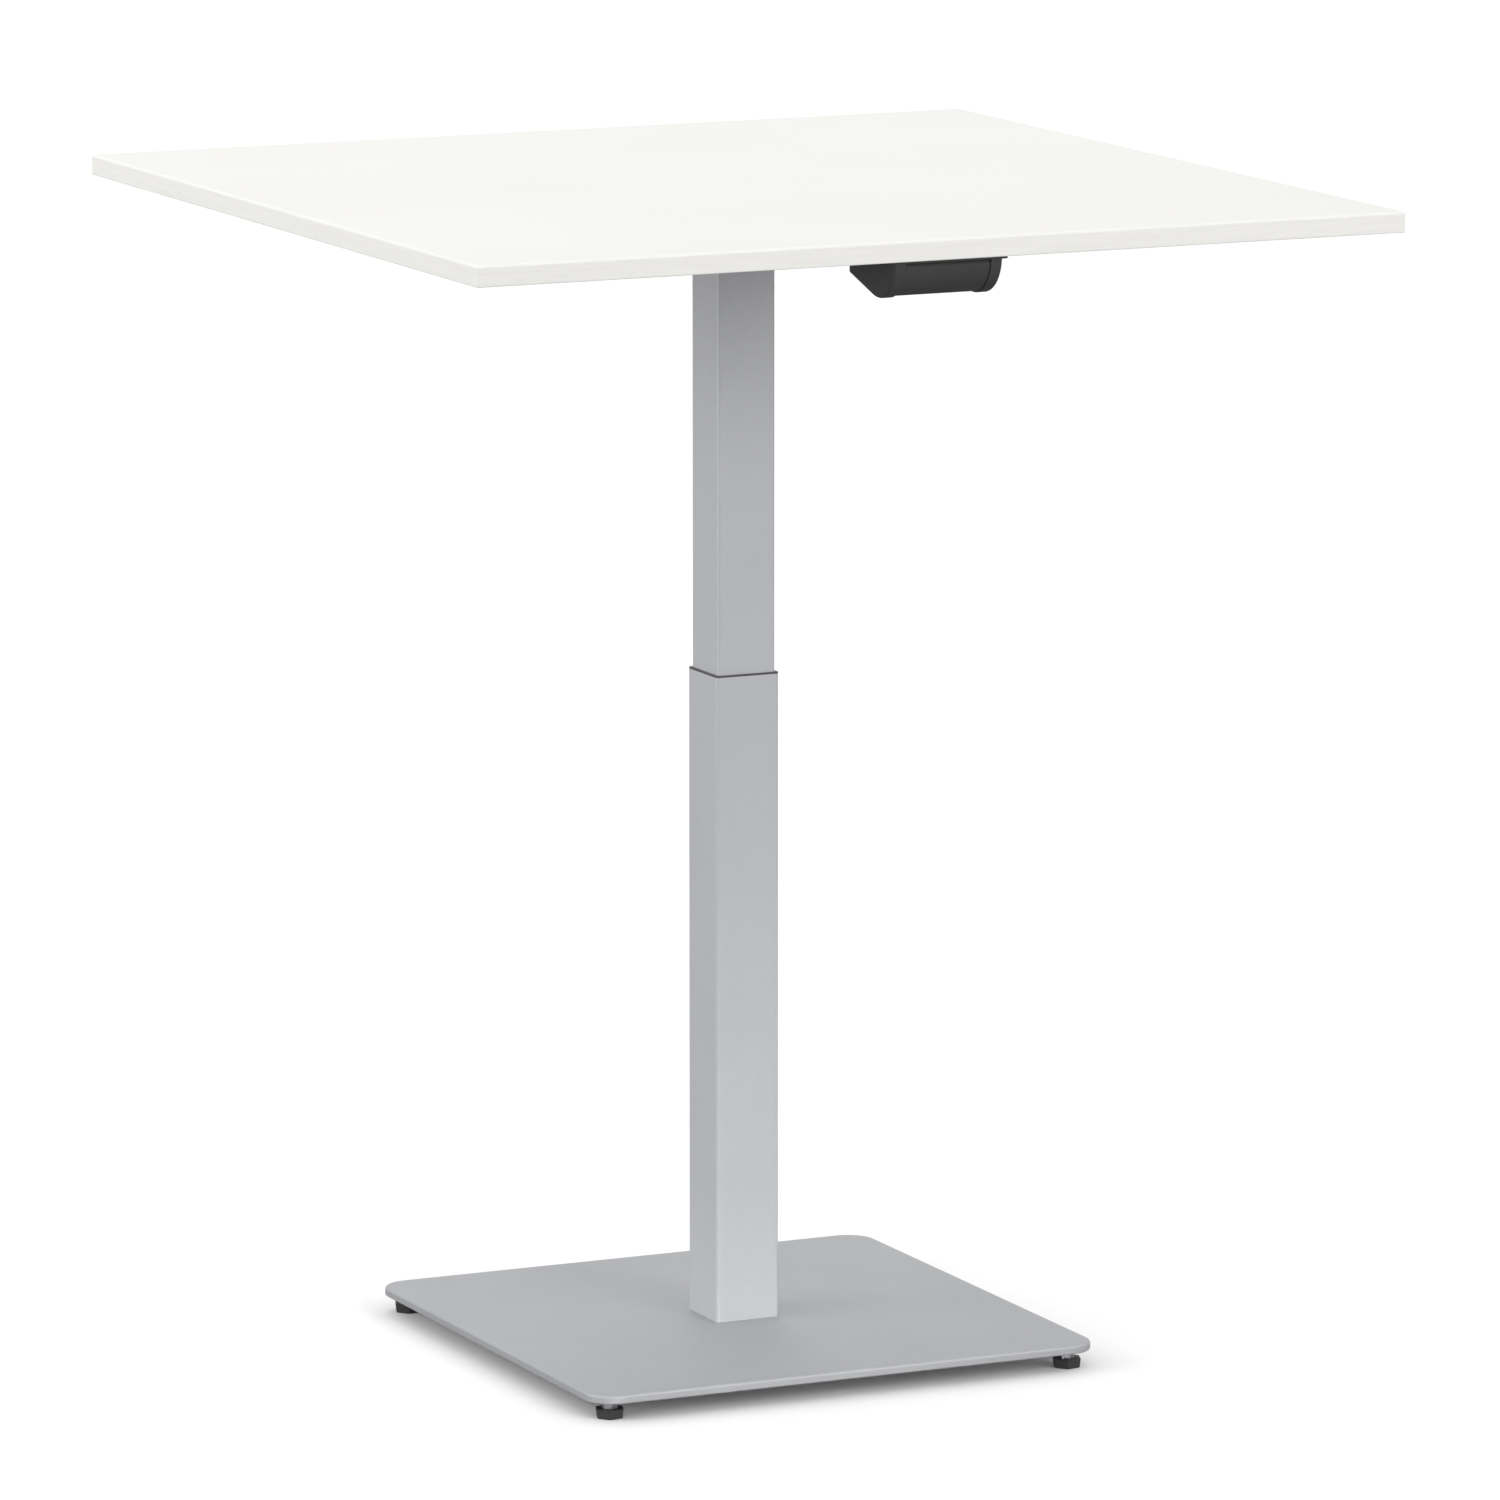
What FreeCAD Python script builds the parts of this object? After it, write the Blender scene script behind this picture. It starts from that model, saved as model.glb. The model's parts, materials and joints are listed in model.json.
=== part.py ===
import FreeCAD, Part
import math
import os
import re
import Sketcher

# Height-adjustable pedestal table, standing at its raised height.
# A square laminate top rides on a telescopic square column over a locking gas spring.
# Frame: origin on the floor under the column, +X along the front edge, +Y to the back, +Z up, millimetres.
# The release handle hangs under the front edge, at -Y.

Vector = FreeCAD.Vector
doc = FreeCAD.newDocument("pedestal_table")
sheet = doc.addObject("Spreadsheet::Sheet", "Sizes")

SIZES = [
    # heights of the raised table
    ("table_height", 1096),
    ("joint_height", 640),
    ("lift_stroke", 400),
    ("tube_overlap", 150),
    # top board
    ("top_width", 914.4),
    ("top_thickness", 19),
    ("laminate_thickness", 0.8),
    ("backer_thickness", 0.8),
    ("band_thickness", 3),
    ("band_edge_land", 0.8),
    ("band_lower_radius", 1),
    ("band_corner_land", 0.4),
    # steel plate and ribs under the top
    ("support_width", 300),
    ("support_thickness", 5),
    ("support_corner_radius", 20),
    ("support_opening", 40),
    ("support_screw_inset", 25),
    ("rib_thickness", 5),
    ("rib_height", 25),
    ("rib_tip_height", 6),
    ("rib_screw_gap", 12),
    # wood screws: under the support plate, in the handle, in the rod guides
    ("top_screw_diameter", 5),
    ("top_screw_head", 9.5),
    ("top_screw_length", 18),
    ("handle_screw_diameter", 4),
    ("handle_screw_head", 8),
    ("handle_screw_length", 15),
    ("guide_screw_diameter", 3.5),
    ("guide_screw_head", 7),
    ("guide_screw_length", 15),
    ("screw_head_height", 2.6),
    ("screw_tip_gap", 0.5),
    # base plate
    ("plate_width", 514),
    ("plate_thickness", 8),
    ("plate_corner_radius", 28),
    ("plate_top_radius", 2.4),
    ("plate_bottom_bevel", 0.8),
    # levelling glides
    ("glide_inset", 23.5),
    ("glide_base_height", 8.8),
    ("glide_base_flats", 24.6),
    ("glide_base_draft", 5),
    ("glide_base_edge", 1),
    ("glide_seat_gap", 0.3),
    ("glide_nut_height", 7.9),
    ("glide_nut_flats", 13),
    ("glide_stud_diameter", 8),
    ("glide_stud_embed", 6.4),
    ("glide_stud_bevel", 1),
    ("glide_hole_skin", 1.6),
    ("glide_turn", 10),
    ("glide_nut_turn", 25),
    # column tubes and their plastic guides
    ("outer_tube_width", 64),
    ("outer_tube_wall", 1.6),
    ("outer_tube_bend", 1.6),
    ("inner_tube_wall", 1.6),
    ("inner_tube_bend", 1.4),
    ("guide_space", 1.1),
    ("guide_rim_height", 1.6),
    ("upper_guide_depth", 45),
    ("lower_guide_height", 40),
    ("lower_guide_floor", 2.5),
    ("lower_guide_lip", 4.7),
    ("guide_corner_relief", 0.8),
    # column foot block and its bolts
    ("foot_thickness", 10),
    ("column_bolt_spacing", 38),
    ("column_bolt_diameter", 8),
    ("column_bolt_head", 14),
    ("column_bolt_head_height", 4.4),
    ("column_bolt_socket", 5),
    ("column_bolt_socket_depth", 2.6),
    ("column_bolt_hole", 9),
    ("washer_diameter", 17),
    ("washer_thickness", 1.6),
    ("tip_recess", 1),
    # gas spring
    ("gas_cylinder_diameter", 28),
    ("gas_cylinder_wall", 1.5),
    ("gas_cylinder_floor", 4),
    ("gas_cylinder_spare", 100),
    ("gas_head_length", 18),
    ("gas_head_rim", 2),
    ("gas_stud_diameter", 10),
    ("gas_stud_collar", 20),
    ("gas_stud_collar_height", 3),
    ("gas_nut_flats", 17),
    ("gas_nut_height", 6),
    ("piston_height", 14),
    ("piston_stop_gap", 2),
    ("piston_rod_diameter", 10),
    ("rod_nut_height", 5),
    ("rod_end_proud", 1),
    ("release_pin_diameter", 3),
    ("release_pin_proud", 3),
    ("release_pin_seat", 5),
    ("release_pin_bevel", 0.6),
    # bridge, bracket and lever inside the inner tube
    ("bridge_drop", 50),
    ("bridge_thickness", 5),
    ("bracket_wall", 2.5),
    ("bracket_length", 16),
    ("bracket_ear", 6),
    ("bracket_offset", 3),
    ("lever_thickness", 5),
    ("lever_hub_diameter", 11),
    ("lever_hub_length", 12),
    ("lever_upper_arm", 18),
    ("lever_front_arm", 14),
    ("lever_arm_width", 7),
    ("lever_eye_diameter", 11),
    ("lever_eye_slot", 1),
    ("lever_nose_diameter", 7),
    ("lever_nose_gap", 0.3),
    ("lever_pin_diameter", 5),
    ("lever_pin_head", 8),
    ("lever_pin_head_height", 1.6),
    ("lever_pin_tail", 2.6),
    # release rod and its guides
    ("rod_diameter", 4),
    ("rod_drop", 14),
    ("rod_cheek_gap", 4),
    ("rod_hole_diameter", 8),
    ("rod_bend_radius", 5),
    ("rod_jog_radius", 30),
    ("rod_jog_setback", 18),
    ("rod_side_gap", 0.7),
    ("rod_tail", 3.3),
    ("rod_clip_diameter", 9),
    ("clip_thickness", 1.4),
    ("rod_guide_setback", 18),
    ("rod_guide_width", 12),
    ("rod_guide_length", 10),
    ("rod_guide_ear", 12),
    ("rod_guide_ear_thickness", 3),
    ("rod_guide_crown", 5),
    # release handle
    ("handle_setback", 4.6),
    ("handle_width", 107),
    ("handle_depth", 94.5),
    ("handle_back_height", 20),
    ("cheek_radius", 36),
    ("cheek_thickness", 11.5),
    ("cheek_edge_radius", 3),
    ("cheek_mouth_radius", 0.5),
    ("cheek_core_width", 6),
    ("cheek_core_depth", 14),
    ("cheek_core_front", 22),
    ("handle_wall", 2.5),
    ("flange_thickness", 2.4),
    ("flange_side", 6),
    ("flange_rear", 15),
    ("flange_corner_radius", 4),
    ("handle_screw_inset", 14.5),
    ("handle_screw_lug_gap", 10),
    ("handle_screw_front", 4),
    ("paddle_recess", 1.2),
    ("paddle_thickness", 3.2),
    ("paddle_side_gap", 0.5),
    ("paddle_lip", 4),
    ("paddle_lip_reach", 10.5),
    ("paddle_bead", 4.6),
    ("paddle_pivot_inset", 4),
    ("paddle_pivot_drop", 5),
    ("paddle_pin_diameter", 2.5),
    ("paddle_pin_seat", 5),
    ("paddle_lug_reach", 11),
    ("paddle_lug_thickness", 4.5),
    ("paddle_lug_wall", 2.6),
    ("paddle_slot_length", 3.6),
    # clearances
    ("fit_clearance", 0.05),
    ("slide_clearance", 0.1),
    ("pin_clearance", 0.3),
    ("way_clearance", 0.6),
    ("clip_gap", 0.5),
]

# levels and places that follow from the sizes above
DERIVED = {
    "plate_bottom": "glide_base_height + glide_seat_gap + glide_nut_height",
    "plate_top": "plate_bottom + plate_thickness",
    "glide_offset": "plate_width / 2 - glide_inset",
    "glide_hole_depth": "plate_thickness - glide_hole_skin",
    "underside": "table_height - top_thickness",
    "support_bottom": "underside - support_thickness",
    "support_screw_offset": "support_width / 2 - support_screw_inset",
    "rib_reach": "support_screw_offset * sqrt(2) - rib_screw_gap",
    "core_width": "top_width - 2 * band_thickness",
    "band_edge_radius": "band_thickness - band_edge_land",
    "top_corner_radius": "band_thickness - band_corner_land",
    "core_thickness": "top_thickness - laminate_thickness - backer_thickness",
    "outer_tube_top": "joint_height - guide_rim_height",
    "outer_tube_inside": "outer_tube_width - 2 * outer_tube_wall",
    "outer_tube_corner": "outer_tube_bend + outer_tube_wall",
    "inner_tube_width": "outer_tube_inside - 2 * guide_space",
    "inner_tube_bottom": "joint_height - tube_overlap",
    "inner_tube_inside": "inner_tube_width - 2 * inner_tube_wall",
    "inner_tube_corner": "inner_tube_bend + inner_tube_wall",
    "tube_corner_reach": "(inner_tube_width / 2 - inner_tube_corner) * sqrt(2) + inner_tube_corner",
    "foot_top": "plate_top + foot_thickness",
    "gas_cylinder_length": "lift_stroke + gas_cylinder_spare",
    "gas_cylinder_bottom": "foot_top + gas_nut_height + gas_stud_collar_height",
    "gas_cylinder_top": "gas_cylinder_bottom + gas_cylinder_length",
    "gas_cylinder_bore": "gas_cylinder_diameter - 2 * gas_cylinder_wall",
    "piston_top": "gas_cylinder_top - gas_head_length - piston_stop_gap",
    "piston_bottom": "piston_top - piston_height",
    "bridge_top": "underside - bridge_drop",
    "rod_end": "bridge_top + rod_nut_height + rod_end_proud",
    "release_pin_tip": "rod_end + release_pin_proud",
    "rod_level": "underside - rod_drop",
    "lever_pivot_level": "rod_level - lever_upper_arm",
    "lever_nose_level": "release_pin_tip + lever_nose_gap + lever_nose_diameter / 2",
    "bracket_gap": "lever_hub_length + 2 * pin_clearance",
    "bracket_width": "bracket_gap + 2 * bracket_wall",
    "rod_handle_offset": "handle_inside / 2 - rod_cheek_gap",
    "rod_column_offset": "lever_thickness / 2 + rod_side_gap + rod_bend_radius",
    "lever_tail_end": "-lever_thickness / 2 - rod_tail",
    "drum_y": "-top_width / 2 + handle_setback + cheek_radius",
    "handle_back": "drum_y + handle_depth - cheek_radius",
    "handle_inside": "handle_width - 2 * cheek_thickness",
    "rod_guide_front_y": "handle_back + flange_rear + rod_guide_setback",
    "rod_guide_rear_y": "-support_width / 2 - rod_guide_setback",
    "paddle_radius": "cheek_radius - paddle_recess",
    "paddle_pivot_reach": "paddle_radius - paddle_pivot_inset",
    "paddle_width": "handle_inside - 2 * paddle_side_gap",
    "paddle_pivot_y": "drum_y - paddle_pivot_reach",
    "paddle_lug_y": "paddle_pivot_y + paddle_lug_reach",
    "paddle_lug_right": "rod_handle_offset - rod_bend_radius - rod_side_gap",
    "paddle_lug_left": "paddle_lug_right - paddle_lug_thickness",
    "handle_tail_end": "paddle_lug_left - rod_tail",
    "handle_screw_left": "handle_screw_inset - handle_inside / 2",
    "handle_screw_right": "paddle_lug_left - handle_screw_lug_gap",
    "handle_screw_rear_y": "handle_back + flange_rear / 2",
    "handle_screw_front_y": "drum_y + handle_screw_front",
}

ALIASES = {alias for alias, size in SIZES}
for row, (alias, size) in enumerate(SIZES, start=1):
    sheet.set(f"A{row}", alias)
    sheet.set(f"B{row}", str(size))
    sheet.setAlias(f"B{row}", alias)
doc.recompute()

TOLERANCE = 0.001
pieces = []


def bound(expression):
    """Spell out an expression of named sizes so that it reads the cells of the sheet."""
    def cell(match):
        word = match.group(0)
        if word in DERIVED:
            return "(" + bound(DERIVED[word]) + ")"
        if word in ALIASES:
            return "Sizes." + word
        return word
    return re.sub(r"[a-z][a-z_]*", cell, expression)


def size_of(expression):
    """Value of an expression of named sizes, in millimetres."""
    return float(sheet.evalExpression(bound(expression)))


def new_body(label):
    """An empty body that becomes one piece of the table."""
    body = doc.addObject("PartDesign::Body", label)
    body.Label = label
    return body


def keep(piece):
    """Put a finished piece on the list of nodes."""
    pieces.append(piece)
    return piece


def place(piece, x="0", y="0", z="0", turn="0"):
    """Bind a piece's position to the sheet, turned about the vertical by an angle in degrees."""
    piece.Placement = FreeCAD.Placement(Vector(), FreeCAD.Rotation(Vector(0, 0, 1), size_of(turn)))
    for axis, expression in zip("xyz", (x, y, z)):
        piece.setExpression(f"Placement.Base.{axis}", bound(expression))
    return piece


def group(label, members):
    """Identical loose pieces that share one node."""
    compound = doc.addObject("Part::Compound", label)
    compound.Label = label
    compound.Links = members
    return keep(compound)


def new_sketch(body, role="XY_Plane", offset="0"):
    """A sketch on one of the body's own origin planes, moved along its normal."""
    sketch = body.newObject("Sketcher::SketchObject", body.Label + "_sketch")
    plane = [feature for feature in body.Origin.OriginFeatures if feature.Role == role][0]
    sketch.AttachmentSupport = [(plane, "")]
    sketch.MapMode = "FlatFace"
    sketch.setExpression("AttachmentOffset.Base.z", bound(offset))
    return sketch


def bind(sketch, kind, expression, *references):
    """Add a dimension whose value follows the sheet."""
    index = sketch.addConstraint(Sketcher.Constraint(kind, *references, size_of(expression)))
    sketch.setExpression(f"Constraints[{index}]", bound(expression))


def fix_point(sketch, geometry, point, x, y):
    """Dimension a point of the sketch from its origin."""
    bind(sketch, "DistanceX", x, -1, 1, geometry, point)
    bind(sketch, "DistanceY", y, -1, 1, geometry, point)


def polygon(sketch, corners):
    """Closed outline of straight lines through corners given as pairs of expressions."""
    count = len(corners)
    first = sketch.GeometryCount
    points = [Vector(size_of(x), size_of(y), 0) for x, y in corners]
    for i in range(count):
        sketch.addGeometry(Part.LineSegment(points[i], points[(i + 1) % count]))
    for i in range(count):
        sketch.addConstraint(Sketcher.Constraint("Coincident", first + i, 2, first + (i + 1) % count, 1))
    for i, (x, y) in enumerate(corners):
        fix_point(sketch, first + i, 1, x, y)
    return sketch


def rectangle(sketch, left, right, low, high):
    """Rectangle between two pairs of expressions."""
    return polygon(sketch, [(left, low), (right, low), (right, high), (left, high)])


def hexagon(sketch, flats):
    """Regular hexagon by its width across flats."""
    reach = f"{flats} / sqrt(3)"
    return polygon(sketch, [(f"{reach} * cos({a})", f"{reach} * sin({a})") for a in range(0, 360, 60)])


def circle(sketch, x, y, diameter):
    """Circle by its centre and diameter."""
    centre = Vector(size_of(x), size_of(y), 0)
    geometry = sketch.addGeometry(Part.Circle(centre, Vector(0, 0, 1), size_of(diameter) / 2))
    fix_point(sketch, geometry, 3, x, y)
    bind(sketch, "Diameter", diameter, geometry)
    return sketch


def arc(sketch, x, y, radius, start, end):
    """Arc with a dimensioned centre and radius, between two angles in degrees."""
    centre = Vector(size_of(x), size_of(y), 0)
    whole = Part.Circle(centre, Vector(0, 0, 1), size_of(radius))
    geometry = sketch.addGeometry(Part.ArcOfCircle(whole, math.radians(start), math.radians(end)))
    fix_point(sketch, geometry, 3, x, y)
    bind(sketch, "Radius", radius, geometry)
    return geometry


def join_smoothly(sketch, arcs):
    """Closed outline of arcs joined in turn by straight lines tangent to both."""
    for i, geometry in enumerate(arcs):
        following = arcs[(i + 1) % len(arcs)]
        start = sketch.getPoint(geometry, 2)
        line = sketch.addGeometry(Part.LineSegment(start, sketch.getPoint(following, 1)))
        sketch.addConstraint(Sketcher.Constraint("Tangent", geometry, 2, line, 1))
        sketch.addConstraint(Sketcher.Constraint("Tangent", line, 2, following, 1))
    return sketch


def rounded_square(sketch, width, radius):
    """Centred square with round corners."""
    reach = f"({width}) / 2 - ({radius})"
    corners = [(reach, f"-({reach})", -90), (reach, reach, 0), (f"-({reach})", reach, 90),
               (f"-({reach})", f"-({reach})", 180)]
    return join_smoothly(sketch, [arc(sketch, x, y, radius, a, a + 90) for x, y, a in corners])


def slot(sketch, x, low, high, width):
    """Upright slot between the centres of its two round ends."""
    radius = f"({width}) / 2"
    ends = [arc(sketch, x, high, radius, 0, 180), arc(sketch, x, low, radius, 180, 360)]
    return join_smoothly(sketch, ends)


def extrude(body, sketch, kind, length, both, back):
    """Pad or pocket a sketch; a length of None goes through everything."""
    feature = body.newObject("PartDesign::" + kind, body.Label + "_" + kind.lower())
    feature.Profile = sketch
    feature.SideType = "Symmetric" if both else "One side"
    feature.Reversed = back
    if length is None:
        feature.Type = "ThroughAll"
    else:
        feature.setExpression("Length", bound(length))
    return feature


def pad(body, sketch, length, both=False, back=False):
    """Raise a sketch into a solid."""
    return extrude(body, sketch, "Pad", length, both, back)


def pocket(body, sketch, length=None, both=False, back=False):
    """Cut a sketch out of the solid, and see that the cut removes something."""
    doc.recompute()
    before = body.Shape.Volume
    feature = extrude(body, sketch, "Pocket", length, both, back)
    doc.recompute()
    if not body.Shape.Volume < before:
        raise RuntimeError(body.Label + ": a pocket cuts nothing")
    return feature


def revolve(body, outline):
    """Turn an outline of radius and height pairs about the vertical."""
    sketch = polygon(new_sketch(body, "XZ_Plane"), outline)
    feature = body.newObject("PartDesign::Revolution", body.Label + "_turned")
    feature.Profile = sketch
    feature.ReferenceAxis = (sketch, ["V_Axis"])
    return body


def dress_edges(body, kind, chosen):
    """A fillet or chamfer on the edges that the test picks."""
    doc.recompute()
    tip = body.Tip
    names = [f"Edge{i}" for i, edge in enumerate(tip.Shape.Edges, start=1) if chosen(edge)]
    if not names:
        raise RuntimeError(body.Label + ": no edge to dress")
    feature = body.newObject("PartDesign::" + kind, body.Label + "_" + kind.lower())
    feature.Base = (tip, names)
    return feature


def fillet(body, radius, chosen):
    """Round the edges that the test picks."""
    dress_edges(body, "Fillet", chosen).setExpression("Radius", bound(radius))


def bevel(body, size, chosen):
    """Bevel the edges that the test picks."""
    dress_edges(body, "Chamfer", chosen).setExpression("Size", bound(size))


def near(value, expression):
    """Whether a coordinate lies at a named place."""
    return abs(value - size_of(expression)) < TOLERANCE


def flat_at(edge, level):
    """Whether an edge lies in the horizontal plane at a level of its body."""
    box = edge.BoundBox
    return near(box.ZMin, level) and near(box.ZMax, level)


def upright(edge):
    """Whether an edge is a vertical straight line."""
    box = edge.BoundBox
    return box.XLength < TOLERANCE and box.YLength < TOLERANCE


def ring(body, bore, diameter, height):
    """Turned ring with a plain bore."""
    return revolve(body, [(f"({bore}) / 2", "0"), (f"({diameter}) / 2", "0"),
                          (f"({diameter}) / 2", height), (f"({bore}) / 2", height)])


def hex_nut(label, flats, height, bore):
    """Hexagon nut with a plain bore."""
    body = new_body(label)
    sketch = hexagon(new_sketch(body), flats)
    circle(sketch, "0", "0", f"{bore} + 2 * fit_clearance")
    pad(body, sketch, height)
    return body


def wood_screw(label, diameter, head, length):
    """Screw driven upwards, with its plain round head below the level of its seat."""
    shank = f"{diameter} / 2"
    brim = f"{head} / 2"
    return revolve(new_body(label), [
        ("0", "-screw_head_height"), (brim, "-screw_head_height"), (brim, "0"),
        (shank, "0"), (shank, length), ("0", length)])


def screw_group(label, diameter, head, length, places, seat):
    """Screws of one kind at their places, seated at one level."""
    members = []
    for number, (x, y) in enumerate(places, start=1):
        screw = wood_screw(f"{label}_{number}", diameter, head, length)
        members.append(place(screw, x, y, seat))
    return group(label, members)


def screw_holes(body, places, diameter, length, level="0"):
    """Holes for a group of screws, cut upwards from a level of the body."""
    sketch = new_sketch(body, offset=level)
    for x, y in places:
        circle(sketch, x, y, f"{diameter} + 2 * fit_clearance")
    pocket(body, sketch, length, back=True)


# Places that repeat
CORNERS = {"front_left": (-1, -1), "front_right": (1, -1), "back_left": (-1, 1), "back_right": (1, 1)}


def corner_places(offset):
    """The four corners of a centred square, as pairs of expressions."""
    return [(f"{sx} * {offset}", f"{sy} * {offset}") for sx, sy in CORNERS.values()]


TOP_SCREW_PLACES = corner_places("support_screw_offset") + [
    ("support_screw_offset", "0"), ("-support_screw_offset", "0"),
    ("0", "support_screw_offset"), ("0", "-support_screw_offset")]
HANDLE_SCREW_PLACES = [
    (x, y) for x in ("handle_screw_left", "handle_screw_right")
    for y in ("handle_screw_front_y", "handle_screw_rear_y")]
ROD_GUIDES = {"rod_guide_front": ("rod_handle_offset", "rod_guide_front_y"),
              "rod_guide_rear": ("rod_column_offset", "rod_guide_rear_y")}
GUIDE_SCREW_REACH = "(rod_guide_width + rod_guide_ear) / 2"
GUIDE_SCREW_PLACES = [(f"{x} + {side} * {GUIDE_SCREW_REACH}", y)
                      for x, y in ROD_GUIDES.values() for side in (-1, 1)]
# every screw group with its shank, its length and how far it goes into the board
SCREW_GROUPS = [
    (TOP_SCREW_PLACES, "top_screw_diameter", "top_screw_length - support_thickness"),
    (HANDLE_SCREW_PLACES, "handle_screw_diameter", "handle_screw_length - flange_thickness"),
    (GUIDE_SCREW_PLACES, "guide_screw_diameter", "guide_screw_length - rod_guide_ear_thickness")]


def board_sheet(label, thickness, level):
    """One square layer of the top board inside the edge bands."""
    body = new_body(label)
    half = "core_width / 2"
    pad(body, rectangle(new_sketch(body), f"-{half}", half, f"-{half}", half), thickness)
    place(body, z=level)
    return keep(body)


def top_board():
    """Core, face laminate and backing sheet, with pilot holes from below."""
    core = board_sheet("top_core", "core_thickness", "underside + backer_thickness")
    backer = board_sheet("top_backer", "backer_thickness", "underside")
    board_sheet("top_laminate", "laminate_thickness", "table_height - laminate_thickness")
    for places, diameter, reach in SCREW_GROUPS:
        screw_holes(core, places, diameter, f"{reach} - backer_thickness + screw_tip_gap")
        screw_holes(backer, places, diameter, None)


def edge_band(label, length, turn, reach, round_ends):
    """Edge strip along one side, rounded along its outside edges."""
    body = new_body(label)
    outside = f"-({reach})"
    inside = f"{outside} + band_thickness"
    end = f"({length}) / 2"
    pad(body, rectangle(new_sketch(body), f"-{end}", end, outside, inside), "top_thickness")
    if round_ends:
        fillet(body, "top_corner_radius", lambda edge: upright(edge) and near(edge.BoundBox.YMin, outside))

    def outer_rim(edge, level):
        across = edge.BoundBox.XLength < TOLERANCE and not round_ends
        return flat_at(edge, level) and not near(edge.BoundBox.YMin, inside) and not across

    fillet(body, "band_edge_radius", lambda edge: outer_rim(edge, "top_thickness"))
    fillet(body, "band_lower_radius", lambda edge: outer_rim(edge, "0"))
    place(body, z="underside", turn=turn)
    return keep(body)


def edge_bands():
    """Front and back strips cover the ends of the side strips."""
    half = "top_width / 2"
    edge_band("edge_band_front", "top_width", "0", half, True)
    edge_band("edge_band_back", "top_width", "180", half, True)
    edge_band("edge_band_left", "core_width", "-90", half, False)
    edge_band("edge_band_right", "core_width", "90", half, False)


def support_frame():
    """Steel plate screwed under the top, with four ribs towards its corners."""
    plate = new_body("support_plate")
    sketch = rounded_square(new_sketch(plate), "support_width", "support_corner_radius")
    circle(sketch, "0", "0", "support_opening")
    for x, y in TOP_SCREW_PLACES:
        circle(sketch, x, y, "top_screw_diameter + 2 * fit_clearance")
    pad(plate, sketch, "support_thickness")
    place(plate, z="support_bottom")
    keep(plate)
    for number, name in enumerate(("back_right", "back_left", "front_left", "front_right")):
        rib = new_body("support_rib_" + name)
        outline = [("tube_corner_reach", "0"), ("tube_corner_reach", "-rib_height"),
                   ("rib_reach", "-rib_tip_height"), ("rib_reach", "0")]
        pad(rib, polygon(new_sketch(rib, "XZ_Plane"), outline), "rib_thickness", both=True)
        place(rib, z="support_bottom", turn=f"45 + 90 * {number}")
        keep(rib)
    screw_group("top_screws", "top_screw_diameter", "top_screw_head", "top_screw_length",
                TOP_SCREW_PLACES, "support_bottom")


def square_tube(label, width, wall, bend, length, level):
    """Square steel tube with round corners."""
    body = new_body(label)
    sketch = rounded_square(new_sketch(body), width, f"{bend} + {wall}")
    rounded_square(sketch, f"{width} - 2 * {wall}", bend)
    pad(body, sketch, length)
    place(body, z=level)
    return keep(body)


def column_tubes():
    """Fixed outer tube and sliding inner tube, which has a hole for the release rod."""
    square_tube("outer_tube", "outer_tube_width", "outer_tube_wall", "outer_tube_bend",
                "outer_tube_top - plate_top", "plate_top")
    inner = square_tube("inner_tube", "inner_tube_width", "inner_tube_wall", "inner_tube_bend",
                        "support_bottom - inner_tube_bottom", "inner_tube_bottom")
    sketch = circle(new_sketch(inner, "XZ_Plane"), "rod_column_offset", "rod_level - inner_tube_bottom",
                    "rod_hole_diameter")
    pocket(inner, sketch, back=True)


def column_guides():
    """Plastic guides: a rimmed bush in the outer tube and a shoe round the inner tube's lower end."""
    upper = new_body("upper_guide")
    bore = "inner_tube_width + 2 * slide_clearance"
    bore_corner = "inner_tube_corner - guide_corner_relief"
    skirt = rounded_square(new_sketch(upper), "outer_tube_inside - 2 * fit_clearance", "outer_tube_bend")
    rounded_square(skirt, bore, bore_corner)
    pad(upper, skirt, "upper_guide_depth", back=True)
    rim = rounded_square(new_sketch(upper), "outer_tube_width", "outer_tube_corner")
    rounded_square(rim, bore, bore_corner)
    pad(upper, rim, "guide_rim_height")
    place(upper, z="outer_tube_top")
    keep(upper)

    lower = new_body("lower_guide")
    shoe = rounded_square(new_sketch(lower), "outer_tube_inside - 2 * slide_clearance",
                          "outer_tube_bend + guide_corner_relief")
    pad(lower, shoe, "lower_guide_height")
    seat = new_sketch(lower, offset="lower_guide_floor")
    rounded_square(seat, "inner_tube_width + 2 * fit_clearance", "inner_tube_corner")
    pocket(lower, seat, back=True)
    way = rounded_square(new_sketch(lower), "inner_tube_inside - 2 * lower_guide_lip", "inner_tube_corner")
    pocket(lower, way, back=True)
    place(lower, z="inner_tube_bottom - lower_guide_floor")
    keep(lower)


def base_plate():
    """Steel base plate with blind holes for the glides and clearance holes for the column bolts."""
    plate = new_body("base_plate")
    pad(plate, rounded_square(new_sketch(plate), "plate_width", "plate_corner_radius"), "plate_thickness")
    fillet(plate, "plate_top_radius", lambda edge: flat_at(edge, "plate_thickness"))
    bevel(plate, "plate_bottom_bevel", lambda edge: flat_at(edge, "0"))
    screw_holes(plate, corner_places("glide_offset"), "glide_stud_diameter", "glide_hole_depth")
    screw_holes(plate, corner_places("column_bolt_spacing / 2"), "column_bolt_hole", None)
    place(plate, z="plate_bottom")
    keep(plate)


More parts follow.
